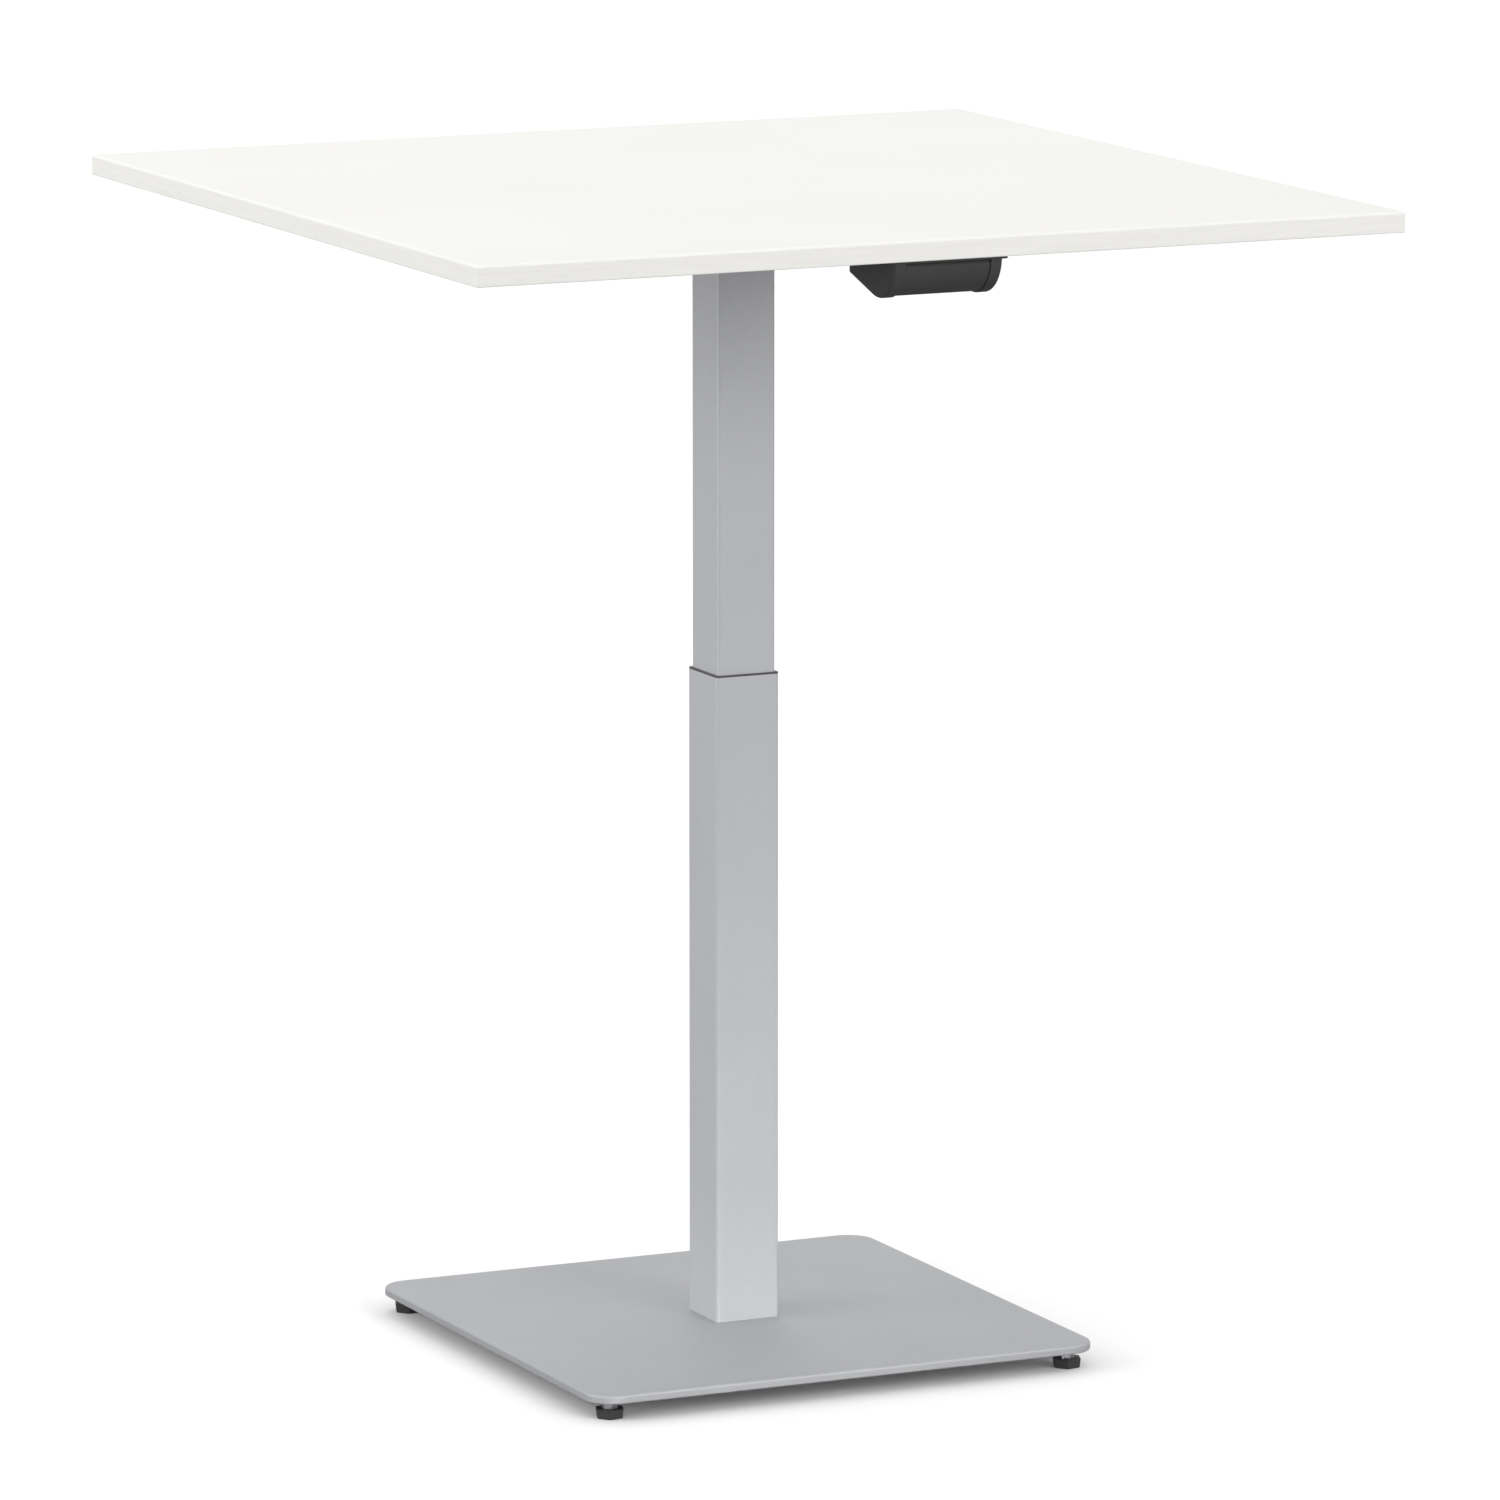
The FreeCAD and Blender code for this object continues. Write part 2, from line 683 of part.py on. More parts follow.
def column_foot():
    """Tapped block in the foot of the outer tube, bolted from under the base plate."""
    foot = new_body("column_foot")
    sketch = rounded_square(new_sketch(foot), "outer_tube_inside - 2 * fit_clearance", "outer_tube_bend")
    circle(sketch, "0", "0", "gas_stud_diameter + 2 * fit_clearance")
    for x, y in corner_places("column_bolt_spacing / 2"):
        circle(sketch, x, y, "column_bolt_diameter + 2 * fit_clearance")
    pad(foot, sketch, "foot_thickness")
    place(foot, z="plate_top")
    keep(foot)
    bolts = []
    washers = []
    shank = "column_bolt_diameter / 2"
    head = "column_bolt_head / 2"
    reach = "washer_thickness + plate_thickness + foot_thickness - tip_recess"
    for number, (x, y) in enumerate(corner_places("column_bolt_spacing / 2"), start=1):
        bolt = revolve(new_body(f"column_bolt_{number}"), [
            ("0", "-column_bolt_head_height"), (head, "-column_bolt_head_height"), (head, "0"),
            (shank, "0"), (shank, reach), ("0", reach)])
        socket = hexagon(new_sketch(bolt, offset="-column_bolt_head_height"), "column_bolt_socket")
        pocket(bolt, socket, "column_bolt_socket_depth", back=True)
        bolts.append(place(bolt, x, y, "plate_bottom - washer_thickness"))
        washer = new_body(f"column_washer_{number}")
        ring(washer, "column_bolt_hole", "washer_diameter", "washer_thickness")
        washers.append(place(washer, x, y, "plate_bottom - washer_thickness"))
    group("column_bolts", bolts)
    group("column_washers", washers)


def glides():
    """Four levelling glides: a tapered hexagon foot moulded on a stud, with a lock nut under the plate."""
    nuts = []
    for name, (sx, sy) in CORNERS.items():
        x = f"{sx} * glide_offset"
        y = f"{sy} * glide_offset"
        foot = new_body("glide_foot_" + name)
        feature = pad(foot, hexagon(new_sketch(foot, offset="glide_base_height"), "glide_base_flats"),
                      "glide_base_height", back=True)
        feature.setExpression("TaperAngle", bound("-glide_base_draft"))
        bevel(foot, "glide_base_edge", lambda edge: flat_at(edge, "0"))
        seat = circle(new_sketch(foot, offset="glide_base_height"), "0", "0",
                      "glide_stud_diameter + 2 * fit_clearance")
        pocket(foot, seat, "glide_stud_embed")
        keep(place(foot, x, y, turn="glide_turn"))
        stud = new_body("glide_stud_" + name)
        low = "glide_base_height - glide_stud_embed"
        high = "plate_bottom + glide_hole_depth - screw_tip_gap"
        radius = "glide_stud_diameter / 2"
        revolve(stud, [("0", low), (radius, low), (radius, f"{high} - glide_stud_bevel"),
                       (f"{radius} - glide_stud_bevel", high), ("0", high)])
        keep(place(stud, x, y))
        nut = hex_nut("glide_nut_" + name, "glide_nut_flats", "glide_nut_height", "glide_stud_diameter")
        nuts.append(place(nut, x, y, "plate_bottom - glide_nut_height", "glide_nut_turn"))
    group("glide_lock_nuts", nuts)


def gas_spring():
    """Locking gas spring: cylinder on the column foot, hollow rod up to the bridge in the inner tube."""
    stud = new_body("gas_spring_stud")
    radius = "gas_stud_diameter / 2"
    collar = "gas_stud_collar / 2"
    high = "foot_thickness + gas_nut_height"
    revolve(stud, [("0", "tip_recess"), (radius, "tip_recess"), (radius, high), (collar, high),
                   (collar, f"{high} + gas_stud_collar_height"), ("0", f"{high} + gas_stud_collar_height")])
    keep(place(stud, z="plate_top"))
    nut = hex_nut("gas_spring_nut", "gas_nut_flats", "gas_nut_height", "gas_stud_diameter")
    keep(place(nut, z="foot_top"))

    cylinder = new_body("gas_cylinder")
    outside = "gas_cylinder_diameter / 2"
    inside = "gas_cylinder_bore / 2"
    length = "gas_cylinder_length"
    floor = "gas_cylinder_floor"
    revolve(cylinder, [("0", "0"), (outside, "0"), (outside, length),
                       (inside, length), (inside, floor), ("0", floor)])
    keep(place(cylinder, z="gas_cylinder_bottom"))

    head = new_body("gas_cylinder_head")
    bore = "piston_rod_diameter / 2 + fit_clearance"
    plug = "gas_cylinder_bore / 2 - fit_clearance"
    revolve(head, [(bore, "-gas_head_length"), (plug, "-gas_head_length"), (plug, "0"), (outside, "0"),
                   (outside, "gas_head_rim"), (bore, "gas_head_rim")])
    keep(place(head, z="gas_cylinder_top"))

    piston = ring(new_body("piston"), "piston_rod_diameter + 2 * fit_clearance",
                  "gas_cylinder_bore - 2 * slide_clearance", "piston_height")
    keep(place(piston, z="piston_bottom"))
    rod = ring(new_body("piston_rod"), "release_pin_diameter + 2 * slide_clearance", "piston_rod_diameter",
               "rod_end - piston_bottom")
    keep(place(rod, z="piston_bottom"))
    pin_radius = "release_pin_diameter / 2"
    pin_length = "release_pin_tip - piston_bottom - release_pin_seat"
    pin = revolve(new_body("release_pin"), [
        ("0", "0"), (pin_radius, "0"), (pin_radius, f"{pin_length} - release_pin_bevel"),
        (f"{pin_radius} - release_pin_bevel", pin_length), ("0", pin_length)])
    keep(place(pin, z="piston_bottom + release_pin_seat"))

    nuts = []
    for number, level in enumerate(("bridge_top", "bridge_top - bridge_thickness - rod_nut_height"), start=1):
        nut = hex_nut(f"rod_nut_{number}", "gas_nut_flats", "rod_nut_height", "piston_rod_diameter")
        nuts.append(place(nut, z=level))
    group("rod_lock_nuts", nuts)


def spring_bridge():
    """Plate welded across the inner tube, which the gas spring lifts."""
    bridge = new_body("spring_bridge")
    sketch = rounded_square(new_sketch(bridge), "inner_tube_inside - 2 * fit_clearance", "inner_tube_bend")
    circle(sketch, "0", "0", "piston_rod_diameter + 2 * fit_clearance")
    pad(bridge, sketch, "bridge_thickness")
    keep(place(bridge, z="bridge_top - bridge_thickness"))


def lever_bracket():
    """Folded bracket on the bridge that carries the release lever's pin."""
    bracket = new_body("lever_bracket")
    half = "bracket_width / 2"
    gap = "bracket_gap / 2"
    high = "lever_pivot_level - bridge_top + bracket_ear"
    outline = [(f"-{half}", "0"), (half, "0"), (half, high), (gap, high), (gap, "bracket_wall"),
               (f"-{gap}", "bracket_wall"), (f"-{gap}", high), (f"-{half}", high)]
    pad(bracket, polygon(new_sketch(bracket, "XZ_Plane"), outline), "bracket_length", both=True)
    fillet(bracket, "bracket_ear", lambda edge: flat_at(edge, high) and edge.BoundBox.YLength < TOLERANCE)
    hole = circle(new_sketch(bracket, "YZ_Plane"), "-bracket_offset", "lever_pivot_level - bridge_top",
                  "lever_pin_diameter + 2 * fit_clearance")
    pocket(bracket, hole, both=True)
    keep(place(bracket, y="lever_front_arm + bracket_offset", z="bridge_top"))


def lever_pin():
    """Pin through the bracket's ears, with a head at one end and a snap ring at the other."""
    pin = new_body("lever_pin")
    half = "bracket_width / 2"
    profile = circle(new_sketch(pin, "YZ_Plane", f"-{half}"), "0", "0", "lever_pin_diameter")
    pad(pin, profile, "bracket_width + lever_pin_tail")
    head = circle(new_sketch(pin, "YZ_Plane", f"-{half}"), "0", "0", "lever_pin_head")
    pad(pin, head, "lever_pin_head_height", back=True)
    keep(place(pin, y="lever_front_arm", z="lever_pivot_level"))
    clip = new_body("lever_pin_clip")
    sketch = circle(new_sketch(clip, "YZ_Plane", half), "0", "0", "lever_pin_head")
    circle(sketch, "0", "0", "lever_pin_diameter + 2 * fit_clearance")
    pad(clip, sketch, "clip_thickness")
    keep(place(clip, y="lever_front_arm", z="lever_pivot_level"))


def release_lever():
    """Bell crank: the rod pulls its upper arm forward and its nose presses the release pin down."""
    lever = new_body("release_lever")
    thick = "lever_thickness"
    half = "lever_arm_width / 2"
    nose_y = "-lever_front_arm"
    nose_z = "lever_nose_level - lever_pivot_level"
    hub = circle(new_sketch(lever, "YZ_Plane"), "0", "0", "lever_hub_diameter")
    pad(lever, hub, "lever_hub_length", both=True)
    arm = rectangle(new_sketch(lever, "YZ_Plane"), f"-{half}", half, "0", "lever_upper_arm")
    pad(lever, arm, thick, both=True)
    head = circle(new_sketch(lever, "YZ_Plane"), "0", "lever_upper_arm", "lever_eye_diameter")
    pad(lever, head, thick, both=True)
    front = polygon(new_sketch(lever, "YZ_Plane"), [
        ("0", half), (nose_y, f"{nose_z} + lever_nose_diameter / 2"),
        (nose_y, f"{nose_z} - lever_nose_diameter / 2"), ("0", f"-{half}")])
    pad(lever, front, thick, both=True)
    pad(lever, circle(new_sketch(lever, "YZ_Plane"), nose_y, nose_z, "lever_nose_diameter"), thick, both=True)
    bore = circle(new_sketch(lever, "YZ_Plane"), "0", "0", "lever_pin_diameter + 2 * fit_clearance")
    pocket(lever, bore, both=True)
    eye = slot(new_sketch(lever, "YZ_Plane"), "0", "lever_upper_arm - lever_eye_slot / 2",
               "lever_upper_arm + lever_eye_slot / 2", "rod_diameter + 2 * pin_clearance")
    pocket(lever, eye, both=True)
    keep(place(lever, y="lever_front_arm", z="lever_pivot_level"))


def bent_wire(corners, radii, diameter):
    """Round wire along straight runs joined by tangent arcs, one radius for each inner corner."""
    edges = []
    start = corners[0]
    for before, corner, after, radius in zip(corners, corners[1:], corners[2:], radii):
        inward = (before - corner).normalize()
        outward = (after - corner).normalize()
        half_angle = inward.getAngle(outward) / 2
        middle = (inward + outward).normalize()
        to_centre = radius / math.sin(half_angle)
        trim = to_centre * math.cos(half_angle)
        first = corner + inward * trim
        last = corner + outward * trim
        edges.append(Part.LineSegment(start, first).toShape())
        edges.append(Part.Arc(first, corner + middle * (to_centre - radius), last).toShape())
        start = last
    edges.append(Part.LineSegment(start, corners[-1]).toShape())
    path = Part.Wire(edges)
    section = Part.Wire([Part.Circle(corners[0], corners[1] - corners[0], diameter / 2).toShape()])
    solid = path.makePipeShell([section], True, False)
    expected = path.Length * math.pi * diameter ** 2 / 4
    if abs(solid.Volume / expected - 1) > 0.01:
        raise RuntimeError("the bent wire's volume is not its section times its length")
    return solid


def release_rod():
    """Steel rod from the paddle to the lever, bent at both ends and jogged to the column's middle."""
    plan = [("handle_tail_end", "paddle_lug_y"), ("rod_handle_offset", "paddle_lug_y"),
            ("rod_handle_offset", "rod_guide_front_y + rod_jog_setback"),
            ("rod_column_offset", "rod_guide_rear_y - rod_jog_setback"),
            ("rod_column_offset", "lever_front_arm"), ("lever_tail_end", "lever_front_arm")]
    corners = [Vector(size_of(x), size_of(y), 0) for x, y in plan]
    bend = size_of("rod_bend_radius")
    jog = size_of("rod_jog_radius")
    rod = doc.addObject("Part::Feature", "release_rod")
    rod.Label = "release_rod"
    rod.Shape = bent_wire(corners, [bend, jog, jog, bend], size_of("rod_diameter"))
    keep(place(rod, z="rod_level"))
    clips = []
    seats = [("paddle_lug_left - clip_gap", "paddle_lug_y"),
             ("-lever_thickness / 2 - clip_gap", "lever_front_arm")]
    for number, (x, y) in enumerate(seats, start=1):
        clip = new_body(f"rod_clip_{number}")
        sketch = circle(new_sketch(clip, "YZ_Plane"), "0", "0", "rod_clip_diameter")
        circle(sketch, "0", "0", "rod_diameter + 2 * fit_clearance")
        pad(clip, sketch, "clip_thickness", back=True)
        clips.append(place(clip, x, y, "rod_level"))
    group("rod_clips", clips)


def rod_guides():
    """Two plastic saddles screwed under the top that the release rod slides in."""
    for label, (x, y) in ROD_GUIDES.items():
        guide = new_body(label)
        half = "rod_guide_width / 2"
        wing = f"{half} + rod_guide_ear"
        low = "-rod_drop - rod_guide_crown"
        ear = "-rod_guide_ear_thickness"
        outline = [(f"-({wing})", "0"), (f"-({wing})", ear), (f"-{half}", ear), (f"-{half}", low),
                   (half, low), (half, ear), (wing, ear), (wing, "0")]
        pad(guide, polygon(new_sketch(guide, "XZ_Plane"), outline), "rod_guide_length", both=True)
        fillet(guide, "rod_guide_crown",
               lambda edge: flat_at(edge, low) and edge.BoundBox.XLength < TOLERANCE)
        bore = circle(new_sketch(guide, "XZ_Plane"), "0", "-rod_drop", "rod_diameter + 2 * slide_clearance")
        pocket(guide, bore, both=True)
        ears = [(f"{side} * {GUIDE_SCREW_REACH}", "0") for side in (-1, 1)]
        screw_holes(guide, ears, "guide_screw_diameter", None, low)
        keep(place(guide, x, y, "underside"))
    screw_group("rod_guide_screws", "guide_screw_diameter", "guide_screw_head", "guide_screw_length",
                GUIDE_SCREW_PLACES, "underside - rod_guide_ear_thickness")


def cheek_outline(sketch):
    """Side view of a cheek about the drum axis: round front, rising underside, short upright back."""
    back = "handle_depth - cheek_radius"
    corner = Vector(size_of(back), -size_of("handle_back_height"), 0)
    slope = math.atan2(corner.y, corner.x) - math.acos(size_of("cheek_radius") / corner.Length)
    nose = arc(sketch, "0", "0", "cheek_radius", -180, math.degrees(slope))
    under = sketch.addGeometry(Part.LineSegment(sketch.getPoint(nose, 2), corner))
    rear = sketch.addGeometry(Part.LineSegment(corner, Vector(corner.x, 0, 0)))
    roof = sketch.addGeometry(Part.LineSegment(Vector(corner.x, 0, 0), sketch.getPoint(nose, 1)))
    sketch.addConstraint(Sketcher.Constraint("Tangent", nose, 2, under, 1))
    sketch.addConstraint(Sketcher.Constraint("Coincident", under, 2, rear, 1))
    sketch.addConstraint(Sketcher.Constraint("Coincident", rear, 2, roof, 1))
    sketch.addConstraint(Sketcher.Constraint("Coincident", roof, 2, nose, 1))
    fix_point(sketch, rear, 1, back, "-handle_back_height")
    fix_point(sketch, rear, 2, back, "0")
    sketch.addConstraint(Sketcher.Constraint("Horizontal", roof))
    return sketch


def handle_housing():
    """Moulded housing: mounting flange, two cored cheeks and a back wall round the finger hollow."""
    housing = new_body("handle_housing")
    back = "handle_depth - cheek_radius"
    half = "handle_width / 2"
    inner = "handle_inside / 2"
    pad(housing, cheek_outline(new_sketch(housing, "YZ_Plane")), "handle_width", both=True)

    def outer_rim(edge):
        side = near(abs(edge.BoundBox.XMin), half) and edge.BoundBox.XLength < TOLERANCE
        return side and not flat_at(edge, "0")

    fillet(housing, "cheek_edge_radius", outer_rim)
    past = "-cheek_radius - handle_wall"
    inside = f"{back} - handle_wall"
    hollow = rectangle(new_sketch(housing, "YZ_Plane"), past, inside, past, "-flange_thickness")
    pocket(housing, hollow, "handle_inside", both=True)
    wing = f"{half} + flange_side"
    flange = rectangle(new_sketch(housing), f"-({wing})", wing, "-cheek_radius", f"{back} + flange_rear")
    pad(housing, flange, "flange_thickness", back=True)
    fillet(housing, "flange_corner_radius",
           lambda edge: upright(edge) and near(abs(edge.BoundBox.XMin), wing))

    def mouth(edge):
        box = edge.BoundBox
        rim = near(abs(box.XMin), inner) and box.XLength < TOLERANCE < box.YLength
        sill = near(box.YMin, inside) and box.YLength < TOLERANCE < box.XLength
        return (rim or sill) and not flat_at(edge, "-flange_thickness")

    fillet(housing, "cheek_mouth_radius", mouth)
    for side in (-1, 1):
        middle = f"({half} + {inner}) / 2"
        near_edge = f"{side} * ({middle}) - cheek_core_width / 2"
        far_edge = f"{side} * ({middle}) + cheek_core_width / 2"
        core = rectangle(new_sketch(housing), near_edge, far_edge, "-cheek_core_front", inside)
        pocket(housing, core, "cheek_core_depth")
    pivot = circle(new_sketch(housing, "YZ_Plane", f"-({inner}) - paddle_pin_seat"), "-paddle_pivot_reach",
                   "-paddle_pivot_drop", "paddle_pin_diameter + 2 * fit_clearance")
    pocket(housing, pivot, back=True)
    way = new_sketch(housing, "XZ_Plane")
    circle(way, "rod_handle_offset", "-rod_drop", "rod_diameter + 2 * way_clearance")
    pocket(housing, way, f"{back} + flange_rear")
    places = [(x, f"{y} - drum_y") for x, y in HANDLE_SCREW_PLACES]
    screw_holes(housing, places, "handle_screw_diameter", None, "-flange_thickness - screw_head_height")
    keep(place(housing, y="drum_y", z="underside"))
    screw_group("handle_screws", "handle_screw_diameter", "handle_screw_head", "handle_screw_length",
                HANDLE_SCREW_PLACES, "underside - flange_thickness")


def paddle_shell(sketch):
    """Side view of the paddle's curved wall about the drum axis."""
    start = math.degrees(math.asin(size_of("paddle_pivot_drop / paddle_radius"))) - 180
    stop = -90 - math.degrees(math.asin(size_of("paddle_lip_reach / paddle_radius")))
    outer = arc(sketch, "0", "0", "paddle_radius", start, stop)
    inner = arc(sketch, "0", "0", "paddle_radius - paddle_thickness", start, stop)
    ends = ((1, "DistanceY", "-paddle_pivot_drop"), (2, "DistanceX", "-paddle_lip_reach"))
    for end, kind, expression in ends:
        bind(sketch, kind, expression, -1, 1, outer, end)
        bind(sketch, kind, expression, -1, 1, inner, end)
        line = sketch.addGeometry(Part.LineSegment(sketch.getPoint(outer, end), sketch.getPoint(inner, end)))
        sketch.addConstraint(Sketcher.Constraint("Coincident", line, 1, outer, end))
        sketch.addConstraint(Sketcher.Constraint("Coincident", line, 2, inner, end))
    return sketch


def handle_paddle():
    """Curved paddle that hangs on a pin along its top edge, with a finger lip below and a lug for the rod."""
    paddle = new_body("handle_paddle")
    pivot_y = "-paddle_pivot_reach"
    pivot_z = "-paddle_pivot_drop"
    pad(paddle, paddle_shell(new_sketch(paddle, "YZ_Plane")), "paddle_width", both=True)
    bead = circle(new_sketch(paddle, "YZ_Plane"), pivot_y, pivot_z, "paddle_bead")
    pad(paddle, bead, "paddle_width", both=True)
    lip_radius = "(paddle_radius - paddle_thickness / 2)"
    lip_z = f"-sqrt({lip_radius} * {lip_radius} - paddle_lip_reach * paddle_lip_reach)"
    lip = circle(new_sketch(paddle, "YZ_Plane"), "-paddle_lip_reach", lip_z, "paddle_lip")
    pad(paddle, lip, "paddle_width", both=True)
    slot_y = f"{pivot_y} + paddle_lug_reach"
    margin = "rod_diameter / 2 + pin_clearance + paddle_lug_wall"
    low = f"-rod_drop - ({margin})"
    lug = polygon(new_sketch(paddle, "YZ_Plane", "paddle_lug_left"), [
        (pivot_y, pivot_z), (f"-sqrt({lip_radius} * {lip_radius} - ({low}) * ({low}))", low),
        (f"{slot_y} + {margin}", low), (f"{slot_y} + {margin}", pivot_z)])
    pad(paddle, lug, "paddle_lug_thickness")
    eye = slot(new_sketch(paddle, "YZ_Plane", "paddle_lug_left"), slot_y, "-rod_drop",
               "-rod_drop + paddle_slot_length", "rod_diameter + 2 * pin_clearance")
    pocket(paddle, eye, "paddle_lug_thickness", back=True)
    bore = circle(new_sketch(paddle, "YZ_Plane"), pivot_y, pivot_z, "paddle_pin_diameter + 2 * fit_clearance")
    pocket(paddle, bore, both=True)
    keep(place(paddle, y="drum_y", z="underside"))
    pin = new_body("paddle_pin")
    seat = "handle_inside / 2 + paddle_pin_seat"
    profile = circle(new_sketch(pin, "YZ_Plane", f"-({seat})"), "0", "0", "paddle_pin_diameter")
    pad(pin, profile, f"{seat} + handle_width / 2 - cheek_edge_radius")
    keep(place(pin, y="paddle_pivot_y", z="underside - paddle_pivot_drop"))


top_board()
edge_bands()
support_frame()
column_tubes()
column_guides()
base_plate()
column_foot()
glides()
gas_spring()
spring_bridge()
lever_bracket()
lever_pin()
release_lever()
release_rod()
rod_guides()
handle_housing()
handle_paddle()

doc.recompute()
for item in doc.Objects:
    if "Invalid" in item.State or "Error" in item.State:
        raise RuntimeError(item.Label + " did not compute")
for piece in pieces:
    if piece.Shape.isNull() or not piece.Shape.isValid():
        raise RuntimeError(piece.Label + " has no valid shape")

os.makedirs("parts", exist_ok=True)
for piece in pieces:
    piece.Shape.exportStep(os.path.join("parts", piece.Label + ".step"))
print(len(pieces), "nodes written")
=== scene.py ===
import json
import math

import bmesh
import bpy
from mathutils import Color, Matrix, Vector


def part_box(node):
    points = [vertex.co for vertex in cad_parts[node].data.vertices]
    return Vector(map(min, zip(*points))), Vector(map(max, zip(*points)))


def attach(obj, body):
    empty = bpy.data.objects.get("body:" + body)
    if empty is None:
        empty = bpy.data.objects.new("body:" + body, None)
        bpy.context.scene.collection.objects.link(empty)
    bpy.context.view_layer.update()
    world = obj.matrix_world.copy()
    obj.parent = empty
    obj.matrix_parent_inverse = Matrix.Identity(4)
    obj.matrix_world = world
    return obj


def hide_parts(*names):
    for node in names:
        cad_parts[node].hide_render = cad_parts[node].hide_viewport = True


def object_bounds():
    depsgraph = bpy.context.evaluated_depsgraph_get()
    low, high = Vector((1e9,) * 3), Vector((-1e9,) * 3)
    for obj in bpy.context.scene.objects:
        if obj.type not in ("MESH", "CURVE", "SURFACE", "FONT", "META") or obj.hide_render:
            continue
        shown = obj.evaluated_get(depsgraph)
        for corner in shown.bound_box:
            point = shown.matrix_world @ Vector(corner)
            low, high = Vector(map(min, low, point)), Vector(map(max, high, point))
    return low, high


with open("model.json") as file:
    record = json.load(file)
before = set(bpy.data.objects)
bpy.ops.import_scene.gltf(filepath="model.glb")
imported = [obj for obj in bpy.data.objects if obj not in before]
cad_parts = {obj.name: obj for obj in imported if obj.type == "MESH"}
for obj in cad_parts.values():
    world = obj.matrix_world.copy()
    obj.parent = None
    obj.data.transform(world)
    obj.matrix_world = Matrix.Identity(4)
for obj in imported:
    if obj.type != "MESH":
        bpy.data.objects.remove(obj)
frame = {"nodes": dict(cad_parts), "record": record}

cad_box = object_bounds()

MM = 0.001
FULL_TURN = 2 * math.pi
QUARTER_TURN = math.pi / 2
SQUARE_CORNERS = ((-1, -1), (1, -1), (1, 1), (-1, 1))
SCREEN_STEPS = 255
WHITE = (1.0, 1.0, 1.0, 1.0)

# the camera: its place, its turn in degrees, and its lens and sensor in millimetres
CAMERA_PLACE = (-3.93263, -8.46026, 2.21731)
CAMERA_TURN = (79.947, 0.0, -25.025)
CAMERA_LENS = 243.7
CAMERA_SENSOR = 36.0
CAMERA_REACH = 200.0

# soft studio light: an even room, and square panels with their power in watts and spread in degrees
ROOM_LIGHT = 0.92
PANELS = {
    "front_panel": dict(place=(1.6, -5.3, 2.7), aim=(0.0, 0.0, 0.75),
                        size=2.2, power=92.0, spread=180.0),
    "left_panel": dict(place=(-4.9, 0.7, 1.9), aim=(0.0, 0.0, 0.7),
                       size=3.0, power=89.0, spread=180.0),
    "top_panel": dict(place=(0.3, 2.2, 4.0), aim=(0.0, 0.2, 1.0),
                      size=0.8, power=16.0, spread=180.0),
    "foot_panel": dict(place=(-0.6, -2.1, 0.06), aim=(-0.04, -0.257, -0.1),
                       size=0.1, power=0.62, spread=36.0),
}

# the pale floor that the camera sees, with its glow near the object and further out
FLOOR_PLACE = (0.0, 0.0)
FLOOR_HALF_WIDTH = 40.0
FLOOR_GLOW = 0.05
FLOOR_FAR_GLOW = 0.16
FLOOR_NEAR_REACH = 1.5
FLOOR_FAR_REACH = 5.0
STAGE_SHEEN = 0.1

# the card and the flag just under the floor, which the camera doesn't see and which shape the light
CARD_DROP = 1.0 * MM
CARD_NEAR_REACH = 1.0
CARD_FAR_REACH = 4.5
CARD_NEAR = (0.32, 0.32, 0.32, 1.0)
CARD_FAR = (0.50, 0.50, 0.50, 1.0)
FLAG_DROP = 0.5 * MM
FLAG_PLACE = (-1.0, 0.0)
FLAG_HALF_WIDTH = 0.65
FLAG_DARK = (0.02, 0.02, 0.02, 1.0)
FLAG_LIGHT = (0.05, 0.05, 0.05, 1.0)

# pan-head wood screws: the head, the cross pressed into it, and the shank; shares are of the head's radius
SCREW_NODES = ("top_screws", "handle_screws", "rod_guide_screws")
HEAD_HEIGHT = 2.6 * MM
HEAD_BRIM = 0.9 * MM
HEAD_CROWN_STEPS = 6
CROSS_REACH_SHARE = 0.46
CROSS_WIDTH_SHARE = 0.15
SHANK_SHARE = 0.52
WOOD_PLAIN_NECK = 1.2 * MM
WOOD_PITCH = 1.9 * MM
WOOD_THREAD_DEPTH = 0.55 * MM
WOOD_TIP_SHANKS = 2.0

# the cross: its depth, its reach at the bottom as a share, and how far outside the head its tool starts
CROSS_DEPTH = 1.7 * MM
CROSS_DRAFT = 0.55
CROSS_OVERRUN_SHARE = 0.25

# one turn of a thread: share of the pitch, and share of the depth at that place
THREAD_FORM = ((0.0, 0.0), (0.25, 0.0), (0.56, 1.0), (0.69, 1.0))
THREAD_SPARE_TURNS = 2
THREAD_TIP_SHARE = 0.02

# metric thread of the glide studs
CORNERS = ("front_left", "front_right", "back_left", "back_right")
STUD_PITCH = 1.25 * MM
STUD_THREAD_DEPTH = 0.62 * MM

# weld beads of the frame under the top
BEAD_RADIUS = 2.2 * MM
BEAD_RIPPLE = 2.6 * MM
BEAD_LEAST_RIPPLES = 2
BEAD_SWELL = 0.16
BEAD_SIDES = 10
BEAD_STEPS_PER_RIPPLE = 4
BEAD_END_SHARE = 0.12
HEAD_BEAD_SHARE = 0.8

# meshes: sides of round forms, the angle from which an edge stays crisp, and how close points become one
ROUND_SIDES = 40
THREAD_SIDES = 28
SMOOTH_ANGLE = math.radians(32)
MERGE_DISTANCE = 1e-6


def tone(red, green, blue):
    """Linear colour of a screen colour given in steps of 0 to 255."""
    screen = Color((red / SCREEN_STEPS, green / SCREEN_STEPS, blue / SCREEN_STEPS))
    return (*screen.from_srgb_to_scene_linear(), 1.0)


def grey(step):
    """Linear colour of a screen grey."""
    return tone(step, step, step)


